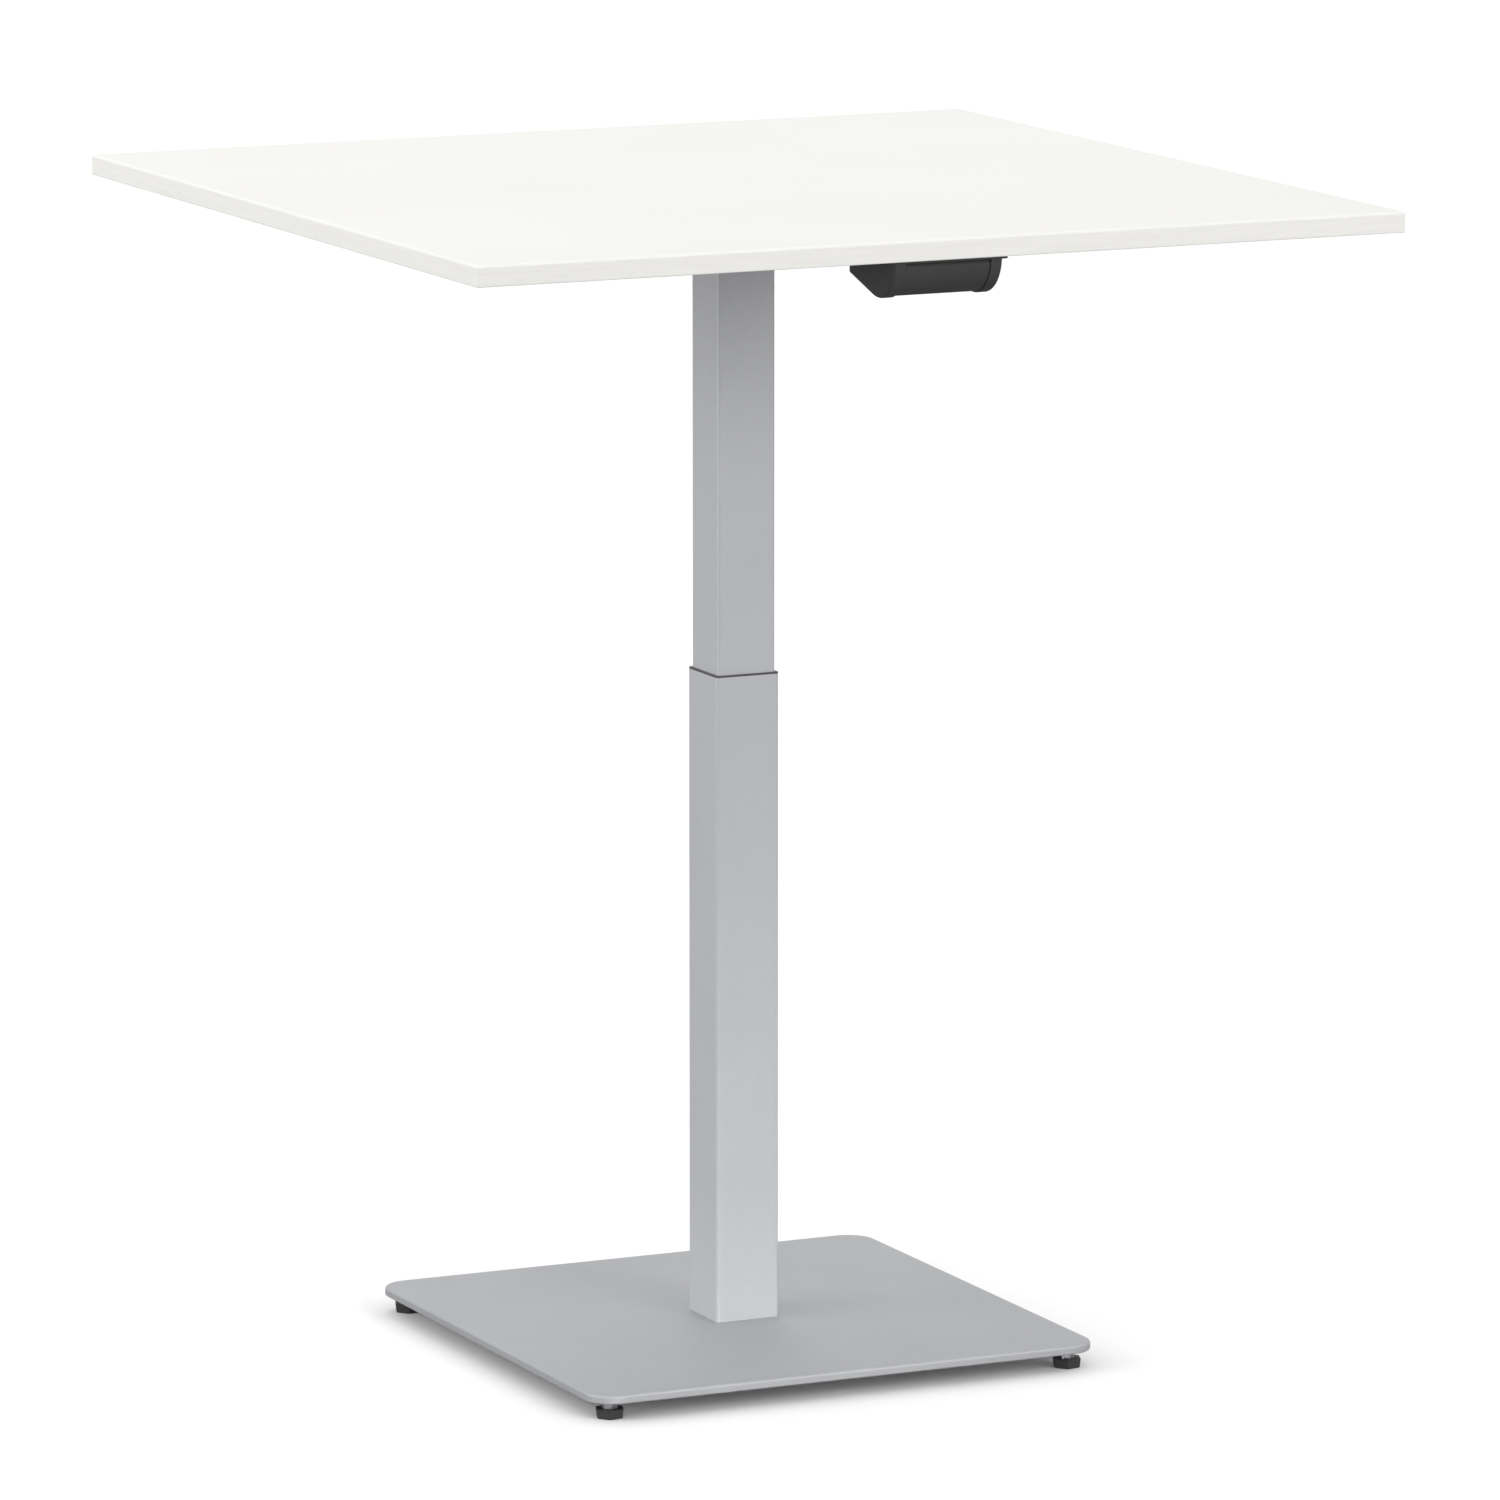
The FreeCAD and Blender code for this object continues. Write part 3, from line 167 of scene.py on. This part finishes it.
class Finish:
    """A procedural surface: one shader and the nodes that feed it, laid out in the object's own metres."""

    def __init__(self, name, **constants):
        self.material = bpy.data.materials.new(name)
        self.material.use_nodes = True
        self.tree = self.material.node_tree
        self.tree.nodes.clear()
        self.shader = self.node("ShaderNodeBsdfPrincipled", **constants)
        output = self.node("ShaderNodeOutputMaterial")
        self.link(self.shader.outputs["BSDF"], output.inputs["Surface"])
        self.place = self.node("ShaderNodeTexCoord").outputs["Object"]
        self.normal = None

    def node(self, kind, **inputs):
        """A node with some inputs set; an underscore stands for a space in a socket's name."""
        made = self.tree.nodes.new(kind)
        for socket, value in inputs.items():
            made.inputs[socket.replace("_", " ")].default_value = value
        return made

    def link(self, source, target):
        self.tree.links.new(source, target)

    def stretched(self, stretch):
        """A place on the surface, scaled along the axes where a stretch is given."""
        if stretch is None:
            return self.place
        mapping = self.node("ShaderNodeMapping", Scale=stretch)
        self.link(self.place, mapping.inputs["Vector"])
        return mapping.outputs["Vector"]

    def noise(self, waves, detail=2.0, stretch=None):
        """Soft noise with the given number of waves in a metre."""
        made = self.node("ShaderNodeTexNoise", Scale=waves, Detail=detail)
        self.link(self.stretched(stretch), made.inputs["Vector"])
        return made.outputs["Fac"]

    def cells(self, grains, stretch=None):
        """A random grey for each grain, with the given number of grains in a metre."""
        made = self.node("ShaderNodeTexVoronoi", Scale=grains)
        self.link(self.stretched(stretch), made.inputs["Vector"])
        return made.outputs["Color"]

    def mapped(self, factor, low, high):
        """A factor of 0 to 1 turned into a value between two others."""
        made = self.node("ShaderNodeMapRange", To_Min=low, To_Max=high)
        self.link(factor, made.inputs["Value"])
        return made.outputs["Result"]

    def distance(self, near, far):
        """How far a place is from the object's origin: 0 up to the near reach, 1 beyond the far one."""
        length = self.node("ShaderNodeVectorMath")
        length.operation = "LENGTH"
        self.link(self.place, length.inputs["Vector"])
        reach = self.node("ShaderNodeMapRange", From_Min=near, From_Max=far)
        self.link(length.outputs["Value"], reach.inputs["Value"])
        return reach.outputs["Result"]

    def blend(self, first, second, share):
        """Two factors mixed, with the given share of the second."""
        made = self.node("ShaderNodeMix", Factor=share)
        self.link(first, made.inputs["A"])
        self.link(second, made.inputs["B"])
        return made.outputs["Result"]

    def colour(self, factor, stops):
        """Colour along a ramp, from a table of colours by their position on it."""
        made = self.node("ShaderNodeValToRGB")
        elements = made.color_ramp.elements
        while len(elements) < len(stops):
            elements.new(max(stops))
        for element, (position, shade) in zip(elements, stops.items()):
            element.position = position
            element.color = shade
        self.link(factor, made.inputs["Fac"])
        self.link(made.outputs["Color"], self.shader.inputs["Base Color"])

    def roughness(self, factor, low, high):
        self.link(self.mapped(factor, low, high), self.shader.inputs["Roughness"])

    def relief(self, height, depth, strength):
        """Fine height on the surface, in metres; a later call lies on top of an earlier one."""
        bump = self.node("ShaderNodeBump", Distance=depth, Strength=strength)
        self.link(height, bump.inputs["Height"])
        if self.normal is not None:
            self.link(self.normal, bump.inputs["Normal"])
        self.normal = bump.outputs["Normal"]
        self.link(self.normal, self.shader.inputs["Normal"])


def laminate():
    """Warm white sheet with a fine satin texture."""
    finish = Finish("warm_white_laminate", IOR=1.48)
    fine = finish.noise(waves=1600.0, detail=3.0)
    cloud = finish.noise(waves=2.6, detail=3.0)
    finish.colour(finish.blend(cloud, fine, share=0.4),
                  {0.3: tone(230, 229, 225), 0.7: tone(235, 234, 230)})
    finish.roughness(finish.blend(cloud, fine, share=0.6), low=0.36, high=0.50)
    finish.relief(finish.noise(waves=260.0), depth=0.02 * MM, strength=0.5)
    finish.relief(fine, depth=0.02 * MM, strength=0.6)
    return finish.material


def edge_plastic():
    """Edge band of the top: the same white, a little smoother, with faint marks of the rollers along it."""
    finish = Finish("warm_white_edge", IOR=1.5)
    streak = finish.noise(waves=420.0, stretch=(0.05, 0.05, 1.0))
    fine = finish.noise(waves=1900.0)
    finish.colour(finish.blend(streak, fine, share=0.3),
                  {0.3: tone(231, 230, 226), 0.7: tone(237, 236, 232)})
    finish.roughness(finish.blend(streak, fine, share=0.5), low=0.30, high=0.42)
    finish.relief(fine, depth=0.01 * MM, strength=0.5)
    return finish.material


def silver_paint(name, dark, light):
    """Silver powder coat: fine metal flakes under a soft skin like orange peel."""
    finish = Finish(name, Metallic=0.30, IOR=1.45)
    flakes = finish.cells(grains=2600.0)
    cloud = finish.noise(waves=9.0, detail=3.0)
    finish.colour(finish.blend(flakes, cloud, share=0.35), {0.15: dark, 0.85: light})
    finish.roughness(finish.blend(flakes, finish.noise(waves=140.0), share=0.5), low=0.46, high=0.60)
    finish.relief(finish.noise(waves=520.0, detail=1.0), depth=0.03 * MM, strength=0.5)
    finish.relief(finish.noise(waves=2400.0, detail=1.0), depth=0.01 * MM, strength=0.6)
    return finish.material


def column_paint():
    return silver_paint("silver_column", dark=tone(184, 185, 188), light=tone(202, 203, 206))


def base_paint():
    return silver_paint("silver_base", dark=tone(163, 164, 167), light=tone(181, 182, 185))


def moulded_black(name, dark, light, grain, smooth, rough, sheen):
    """Black moulded plastic with an even sparked grain."""
    finish = Finish(name, Specular_IOR_Level=sheen)
    spark = finish.noise(waves=grain, detail=3.0)
    cloud = finish.noise(waves=30.0)
    finish.colour(finish.blend(cloud, spark, share=0.5), {0.25: dark, 0.75: light})
    finish.roughness(finish.blend(spark, cloud, share=0.4), low=smooth, high=rough)
    finish.relief(spark, depth=0.06 * MM, strength=0.7)
    return finish.material


def handle_plastic():
    return moulded_black("black_handle_plastic", dark=grey(63), light=grey(71), grain=1700.0,
                         smooth=0.50, rough=0.66, sheen=0.10)


def guide_plastic():
    return moulded_black("black_guide_nylon", dark=grey(66), light=grey(76), grain=2300.0,
                         smooth=0.40, rough=0.52, sheen=0.5)


def glide_plastic():
    return moulded_black("black_glide_nylon", dark=grey(52), light=grey(62), grain=1300.0,
                         smooth=0.42, rough=0.58, sheen=0.4)


def black_enamel():
    """Black enamel on the steel frame, with a little orange peel."""
    finish = Finish("black_enamel", IOR=1.5, Coat_Weight=0.25, Coat_Roughness=0.22)
    peel = finish.noise(waves=380.0)
    cloud = finish.noise(waves=22.0, detail=3.0)
    finish.colour(finish.blend(cloud, peel, share=0.3),
                  {0.25: tone(30, 30, 31), 0.75: tone(42, 42, 43)})
    finish.roughness(finish.blend(peel, cloud, share=0.5), low=0.32, high=0.50)
    finish.relief(peel, depth=0.04 * MM, strength=0.6)
    return finish.material


def bright_steel():
    """Ground steel: fine rings round the axis."""
    finish = Finish("ground_steel", Metallic=1.0)
    rings = finish.noise(waves=900.0, detail=3.0, stretch=(0.04, 0.04, 1.0))
    cloud = finish.noise(waves=45.0, detail=3.0)
    finish.colour(finish.blend(rings, cloud, share=0.4),
                  {0.2: (0.50, 0.50, 0.51, 1.0), 0.8: (0.68, 0.68, 0.69, 1.0)})
    finish.roughness(rings, low=0.16, high=0.34)
    finish.relief(rings, depth=0.01 * MM, strength=0.5)
    return finish.material


def raw_steel():
    """Mill-finish steel, mottled by scale."""
    finish = Finish("mill_steel", Metallic=1.0)
    scale = finish.noise(waves=70.0, detail=5.0)
    grain = finish.noise(waves=900.0, detail=3.0)
    finish.colour(finish.blend(scale, grain, share=0.35),
                  {0.3: (0.22, 0.21, 0.21, 1.0), 0.7: (0.44, 0.43, 0.42, 1.0)})
    finish.roughness(scale, low=0.36, high=0.62)
    finish.relief(grain, depth=0.03 * MM, strength=0.6)
    return finish.material


def zinc_steel():
    """Zinc plate: bluish, with soft crystal grains."""
    finish = Finish("zinc_plate", Metallic=1.0)
    grains = finish.cells(grains=700.0)
    haze = finish.noise(waves=160.0, detail=4.0)
    finish.colour(finish.blend(grains, haze, share=0.6),
                  {0.2: (0.42, 0.43, 0.46, 1.0), 0.8: (0.66, 0.67, 0.70, 1.0)})
    finish.roughness(finish.blend(haze, grains, share=0.4), low=0.24, high=0.46)
    finish.relief(haze, depth=0.01 * MM, strength=0.5)
    return finish.material


def particle_board():
    """Pressed chips of several wood colours, laid flat."""
    finish = Finish("particle_board", IOR=1.4)
    chips = finish.cells(grains=420.0, stretch=(0.5, 0.5, 1.6))
    dust = finish.noise(waves=1500.0, detail=4.0)
    finish.colour(finish.blend(chips, dust, share=0.35),
                  {0.1: tone(120, 88, 56), 0.5: tone(188, 150, 104), 0.9: tone(214, 184, 138)})
    finish.roughness(dust, low=0.74, high=0.95)
    finish.relief(chips, depth=0.15 * MM, strength=0.5)
    return finish.material


def backing_sheet():
    """Matt white backing paper with faint fibre."""
    finish = Finish("white_backing", IOR=1.42)
    fibre = finish.noise(waves=700.0, detail=4.0, stretch=(1.0, 0.25, 1.0))
    cloud = finish.noise(waves=6.0, detail=3.0)
    finish.colour(finish.blend(cloud, fibre, share=0.45),
                  {0.3: tone(220, 219, 215), 0.7: tone(229, 228, 224)})
    finish.roughness(fibre, low=0.58, high=0.74)
    finish.relief(fibre, depth=0.02 * MM, strength=0.5)
    return finish.material


FINISHES = {
    "top_face": laminate,
    "edge_band": edge_plastic,
    "board_core": particle_board,
    "backer_sheet": backing_sheet,
    "column_paint": column_paint,
    "base_paint": base_paint,
    "guide_plastic": guide_plastic,
    "handle_plastic": handle_plastic,
    "glide_plastic": glide_plastic,
    "black_enamel": black_enamel,
    "bright_steel": bright_steel,
    "raw_steel": raw_steel,
    "zinc_steel": zinc_steel,
}
finishes = {slot: make() for slot, make in FINISHES.items()}


def dress_frame():
    """Give every carried-over node the finish of its slot."""
    for part in frame["record"]["subparts"]:
        node = frame["nodes"][part["node"]]
        for holder in node.material_slots:
            holder.material = finishes[part["material_slot"]]


def mesh_of(name, bm):
    """A mesh with the faces of a bmesh, which is then freed."""
    mesh = bpy.data.meshes.new(name)
    bm.to_mesh(mesh)
    bm.free()
    return mesh


def placed(name, data):
    """A new object of the scene with the given mesh, lamp or camera."""
    made = bpy.data.objects.new(name, data)
    bpy.context.scene.collection.objects.link(made)
    return made


def add_piece(name, bm, body, slot, *stands_for):
    """Make a bmesh into a piece that rides on a body and may stand for nodes of the frame."""
    bmesh.ops.remove_doubles(bm, verts=bm.verts, dist=MERGE_DISTANCE)
    bmesh.ops.dissolve_degenerate(bm, edges=bm.edges, dist=MERGE_DISTANCE)
    bmesh.ops.recalc_face_normals(bm, faces=bm.faces)
    mesh = mesh_of(name, bm)
    mesh.polygons.foreach_set("use_smooth", [True] * len(mesh.polygons))
    mesh.set_sharp_from_angle(angle=SMOOTH_ANGLE)
    mesh.materials.append(finishes[slot])
    piece = placed(name, mesh)
    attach(piece, body)
    if stands_for:
        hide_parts(*stands_for)


def solids_of(node):
    """Boxes of the separate solids of a node, in a fixed order."""
    bm = bmesh.new()
    bm.from_mesh(frame["nodes"][node].data)
    bmesh.ops.remove_doubles(bm, verts=bm.verts, dist=MERGE_DISTANCE)
    waiting = set(bm.verts)
    boxes = []
    while waiting:
        front = [waiting.pop()]
        places = []
        while front:
            vertex = front.pop()
            places.append(vertex.co)
            for edge in vertex.link_edges:
                other = edge.other_vert(vertex)
                if other in waiting:
                    waiting.discard(other)
                    front.append(other)
        low = Vector([min(values) for values in zip(*places)])
        high = Vector([max(values) for values in zip(*places)])
        boxes.append((low, high))
    bm.free()
    return sorted(boxes, key=lambda box: tuple(box[0]))


def on_axis(low, high, level):
    """The point at a level on the upright middle line of a box."""
    return Vector(((low.x + high.x) / 2, (low.y + high.y) / 2, level))


def on_circle(radius, angle, height):
    """A point on a circle about Z."""
    return (radius * math.cos(angle), radius * math.sin(angle), height)


def lathe(bm, profile, sides=ROUND_SIDES):
    """Turn a profile of (radius, height) points about Z; a radius of nought closes an end."""
    rings = []
    for radius, height in profile:
        count = sides if radius else 1
        places = [on_circle(radius, FULL_TURN * step / count, height) for step in range(count)]
        rings.append([bm.verts.new(place) for place in places])
    for low, high in zip(rings, rings[1:]):
        for step in range(sides):
            after = step + 1
            corners = [low[step % len(low)], low[after % len(low)],
                       high[after % len(high)], high[step % len(high)]]
            bm.faces.new(dict.fromkeys(corners))


def skin(bm, rings):
    """Close a row of rings of points: a face at each end, and faces from each ring to the next."""
    bm.faces.new(reversed(rings[0]))
    bm.faces.new(rings[-1])
    for low, high in zip(rings, rings[1:]):
        for step in range(len(low)):
            after = (step + 1) % len(low)
            bm.faces.new((low[step], low[after], high[after], high[step]))


def thread(bm, crest, depth, pitch, bottom, top, taper=0.0):
    """A closed thread about Z, run out at both ends; taper is the length of its pointed tip."""
    turns = math.ceil((top - bottom) / pitch) + THREAD_SPARE_TURNS
    rows = []
    for turn in range(-1, turns + 1):
        for share, rise in THREAD_FORM:
            row = []
            for side in range(THREAD_SIDES):
                height = bottom + (turn + share + side / THREAD_SIDES) * pitch
                inside = bottom < height < top
                height = min(max(height, bottom), top)
                radius = crest - depth + (depth * rise if inside else 0.0)
                if taper:
                    radius *= min(1.0, (top - height) / taper + THREAD_TIP_SHARE)
                row.append(bm.verts.new(on_circle(radius, FULL_TURN * side / THREAD_SIDES, height)))
            rows.append(row)
    last = len(rows) - len(THREAD_FORM)
    for low in range(last - 1):
        for side in range(THREAD_SIDES):
            over, after = (low, side + 1) if side + 1 < THREAD_SIDES else (low + len(THREAD_FORM), 0)
            bm.faces.new((rows[low][side], rows[over][after], rows[over + 1][after], rows[low + 1][side]))
    bm.faces.new(reversed(rows[0]))
    bm.faces.new(rows[last])


def cross_tool(radius):
    """The tapered cross that is pressed into a screw's head from below, at Z 0."""
    bm = bmesh.new()
    reach = radius * CROSS_REACH_SHARE
    width = radius * CROSS_WIDTH_SHARE
    start = -CROSS_DEPTH * CROSS_OVERRUN_SHARE
    start_share = 1.0 + CROSS_OVERRUN_SHARE * (1 - CROSS_DRAFT)
    for turn in (0.0, QUARTER_TURN):
        spin = Matrix.Rotation(turn, 3, "Z")
        rings = []
        for height, share in ((start, start_share), (CROSS_DEPTH, CROSS_DRAFT)):
            places = [Vector((x * reach * share, y * width, height)) for x, y in SQUARE_CORNERS]
            rings.append([bm.verts.new(spin @ place) for place in places])
        skin(bm, rings)
    return bm


def carved(blank, tool):
    """The bmesh of one closed form with another taken out of it."""
    holders = []
    for name, bm in (("blank", blank), ("tool", tool)):
        bmesh.ops.recalc_face_normals(bm, faces=bm.faces)
        holders.append(placed(name, mesh_of(name, bm)))
    form, cutter = holders
    cut = form.modifiers.new("carve", "BOOLEAN")
    cut.operation = "DIFFERENCE"
    cut.solver = "EXACT"
    cut.use_self = True
    cut.object = cutter
    graph = bpy.context.evaluated_depsgraph_get()
    result = bmesh.new()
    result.from_mesh(form.evaluated_get(graph).data)
    for holder in holders:
        mesh = holder.data
        bpy.data.objects.remove(holder)
        bpy.data.meshes.remove(mesh)
    return result


def screw_head(radius):
    """A pan head with a domed crown below and a flat seat at the head's height, with its cross."""
    bm = bmesh.new()
    crown = HEAD_HEIGHT - HEAD_BRIM
    flat = radius - crown
    profile = [(0.0, 0.0)]
    for step in range(1, HEAD_CROWN_STEPS + 1):
        angle = QUARTER_TURN * step / HEAD_CROWN_STEPS
        profile.append((flat + crown * math.sin(angle), crown * (1 - math.cos(angle))))
    profile += [(radius, HEAD_HEIGHT), (0.0, HEAD_HEIGHT)]
    lathe(bm, profile)
    return carved(bm, cross_tool(radius))


def add_screws(node):
    """Screws with their heads down, in the places of the plain ones."""
    bm = bmesh.new()
    neck = HEAD_HEIGHT + WOOD_PLAIN_NECK
    for low, high in solids_of(node):
        radius = (high.x - low.x) / 2
        shank = radius * SHANK_SHARE
        core = shank - WOOD_THREAD_DEPTH
        one = screw_head(radius)
        lathe(one, [(0.0, HEAD_HEIGHT), (core, HEAD_HEIGHT), (core, neck), (0.0, neck)], THREAD_SIDES)
        thread(one, shank, WOOD_THREAD_DEPTH, WOOD_PITCH, bottom=neck, top=high.z - low.z,
               taper=shank * WOOD_TIP_SHANKS)
        bmesh.ops.translate(one, verts=one.verts, vec=on_axis(low, high, low.z))
        mesh = mesh_of("one_screw", one)
        bm.from_mesh(mesh)
        bpy.data.meshes.remove(mesh)
    add_piece(f"{node}_driven", bm, "top", "zinc_steel", node)


def add_glide_studs():
    """Threaded studs in place of the plain ones."""
    for corner in CORNERS:
        node = f"glide_stud_{corner}"
        low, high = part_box(node)
        radius = (high.x - low.x) / 2
        bm = bmesh.new()
        thread(bm, radius, STUD_THREAD_DEPTH, STUD_PITCH, bottom=low.z, top=high.z)
        bmesh.ops.translate(bm, verts=bm.verts, vec=on_axis(low, high, 0.0))
        add_piece(f"{node}_threaded", bm, f"glide_{corner}", "zinc_steel", node)


def bead(bm, start, end):
    """A weld bead from one point to another: a round line that swells at each ripple."""
    along = (end - start).normalized()
    side = along.orthogonal().normalized()
    other = along.cross(side)
    ripples = max(BEAD_LEAST_RIPPLES, round((end - start).length / BEAD_RIPPLE))
    steps = ripples * BEAD_STEPS_PER_RIPPLE
    rings = []
    for step in range(steps + 1):
        share = step / steps
        swell = 1.0 - BEAD_SWELL * (1 - abs(math.sin(math.pi * share * ripples)))
        ripples_from_end = min(share, 1 - share) * ripples
        radius = BEAD_RADIUS * swell * math.sqrt(min(1.0, ripples_from_end + BEAD_END_SHARE))
        centre = start.lerp(end, share)
        ring = []
        for turn in range(BEAD_SIDES):
            angle = FULL_TURN * turn / BEAD_SIDES
            ring.append(bm.verts.new(centre + radius * (side * math.cos(angle) + other * math.sin(angle))))
        rings.append(ring)
    skin(bm, rings)


def add_welds():
    """Beads on both flanks of each rib, along the plate and down the column, and round its head."""
    bm = bmesh.new()
    plate_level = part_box("support_plate")[0].z
    plate = Vector((0, 0, plate_level))
    tube_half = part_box("inner_tube")[1].x
    for corner in CORNERS:
        x_way = -1 if "left" in corner else 1
        y_way = -1 if "front" in corner else 1
        along = Vector((x_way, y_way, 0)).normalized()
        across = Vector((-y_way, x_way, 0)).normalized()
        places = [vertex.co for vertex in frame["nodes"][f"support_rib_{corner}"].data.vertices]
        root = min(along.dot(place) for place in places)
        tip = max(along.dot(place) for place in places)
        flank = max(across.dot(place) for place in places)
        foot = Vector((0, 0, min(place.z for place in places)))
        for side in (-flank, flank):
            inner = along * root + across * side
            outer = along * tip + across * side
            bead(bm, inner + plate, outer + plate)
            bead(bm, inner + plate, inner + foot)
    for x_way, y_way in ((1, 0), (-1, 0), (0, 1), (0, -1)):
        middle = Vector((x_way * tube_half, y_way * tube_half, plate_level))
        side = Vector((y_way, x_way, 0)) * tube_half * HEAD_BEAD_SHARE
        bead(bm, middle - side, middle + side)
    add_piece("frame_welds", bm, "top", "column_paint")


def plane(name, middle, half_width, level, finish):
    """A square of the studio, lying flat."""
    bm = bmesh.new()
    x_middle, y_middle = middle
    corners = [(x_middle + x * half_width, y_middle + y * half_width, level) for x, y in SQUARE_CORNERS]
    bm.faces.new([bm.verts.new(corner) for corner in corners])
    mesh = mesh_of(name, bm)
    mesh.materials.append(finish.material)
    made = placed(name, mesh)
    return made


def pale_floor():
    """A matt pale surface with faint clouds, lit up a little further out."""
    finish = Finish("pale_floor", Specular_IOR_Level=STAGE_SHEEN, Emission_Color=WHITE)
    cloud = finish.noise(waves=0.8)
    finish.colour(cloud, {0.3: grey(248), 0.7: grey(250)})
    finish.roughness(cloud, low=0.7, high=0.8)
    glow = finish.mapped(finish.distance(FLOOR_NEAR_REACH, FLOOR_FAR_REACH), FLOOR_GLOW, FLOOR_FAR_GLOW)
    finish.link(glow, finish.shader.inputs["Emission Strength"])
    return finish


def bounce_card():
    """A matt card, dark grey round the object and paler further out."""
    finish = Finish("bounce_card", Specular_IOR_Level=STAGE_SHEEN, Roughness=0.8)
    finish.colour(finish.distance(CARD_NEAR_REACH, CARD_FAR_REACH), {0.0: CARD_NEAR, 1.0: CARD_FAR})
    return finish


def dark_flag():
    """Black studio cloth that takes light off one side."""
    finish = Finish("dark_flag", Specular_IOR_Level=STAGE_SHEEN, Roughness=0.9)
    finish.colour(finish.noise(waves=90.0, detail=3.0), {0.3: FLAG_DARK, 0.7: FLAG_LIGHT})
    return finish


def add_floor():
    """A wide pale floor that the camera sees, over a greyer card and a dark flag that shape the light."""
    level = cad_box[0].z
    floor = plane("floor", FLOOR_PLACE, FLOOR_HALF_WIDTH, level, pale_floor())
    floor.visible_diffuse = False
    floor.visible_glossy = False
    floor.visible_transmission = False
    floor.visible_shadow = False
    card = plane("bounce_card", FLOOR_PLACE, FLOOR_HALF_WIDTH, level - CARD_DROP, bounce_card())
    card.visible_camera = False
    flag = plane("left_flag", FLAG_PLACE, FLAG_HALF_WIDTH, level - FLAG_DROP, dark_flag())
    flag.visible_camera = False


def add_light():
    """Even room light, and soft panels that the camera doesn't see."""
    world = bpy.data.worlds.new("room")
    world.use_nodes = True
    background = world.node_tree.nodes["Background"]
    background.inputs["Color"].default_value = WHITE
    background.inputs["Strength"].default_value = ROOM_LIGHT
    bpy.context.scene.world = world
    for name, panel in PANELS.items():
        lamp = bpy.data.lights.new(name, "AREA")
        lamp.shape = "SQUARE"
        lamp.size = panel["size"]
        lamp.energy = panel["power"]
        lamp.spread = math.radians(panel["spread"])
        way = Vector(panel["aim"]) - Vector(panel["place"])
        holder = placed(name, lamp)
        holder.location = panel["place"]
        holder.rotation_euler = way.to_track_quat("-Z", "Y").to_euler()
        holder.visible_camera = False


def add_camera():
    """The camera at the picture's own place."""
    optics = bpy.data.cameras.new("camera")
    optics.lens = CAMERA_LENS
    optics.sensor_width = CAMERA_SENSOR
    optics.clip_end = CAMERA_REACH
    camera = placed("camera", optics)
    camera.location = CAMERA_PLACE
    camera.rotation_euler = [math.radians(turn) for turn in CAMERA_TURN]
    bpy.context.scene.camera = camera


dress_frame()
for screws in SCREW_NODES:
    add_screws(screws)
add_glide_studs()
add_welds()
add_floor()
add_light()
add_camera()
bpy.context.scene.view_settings.view_transform = "Standard"
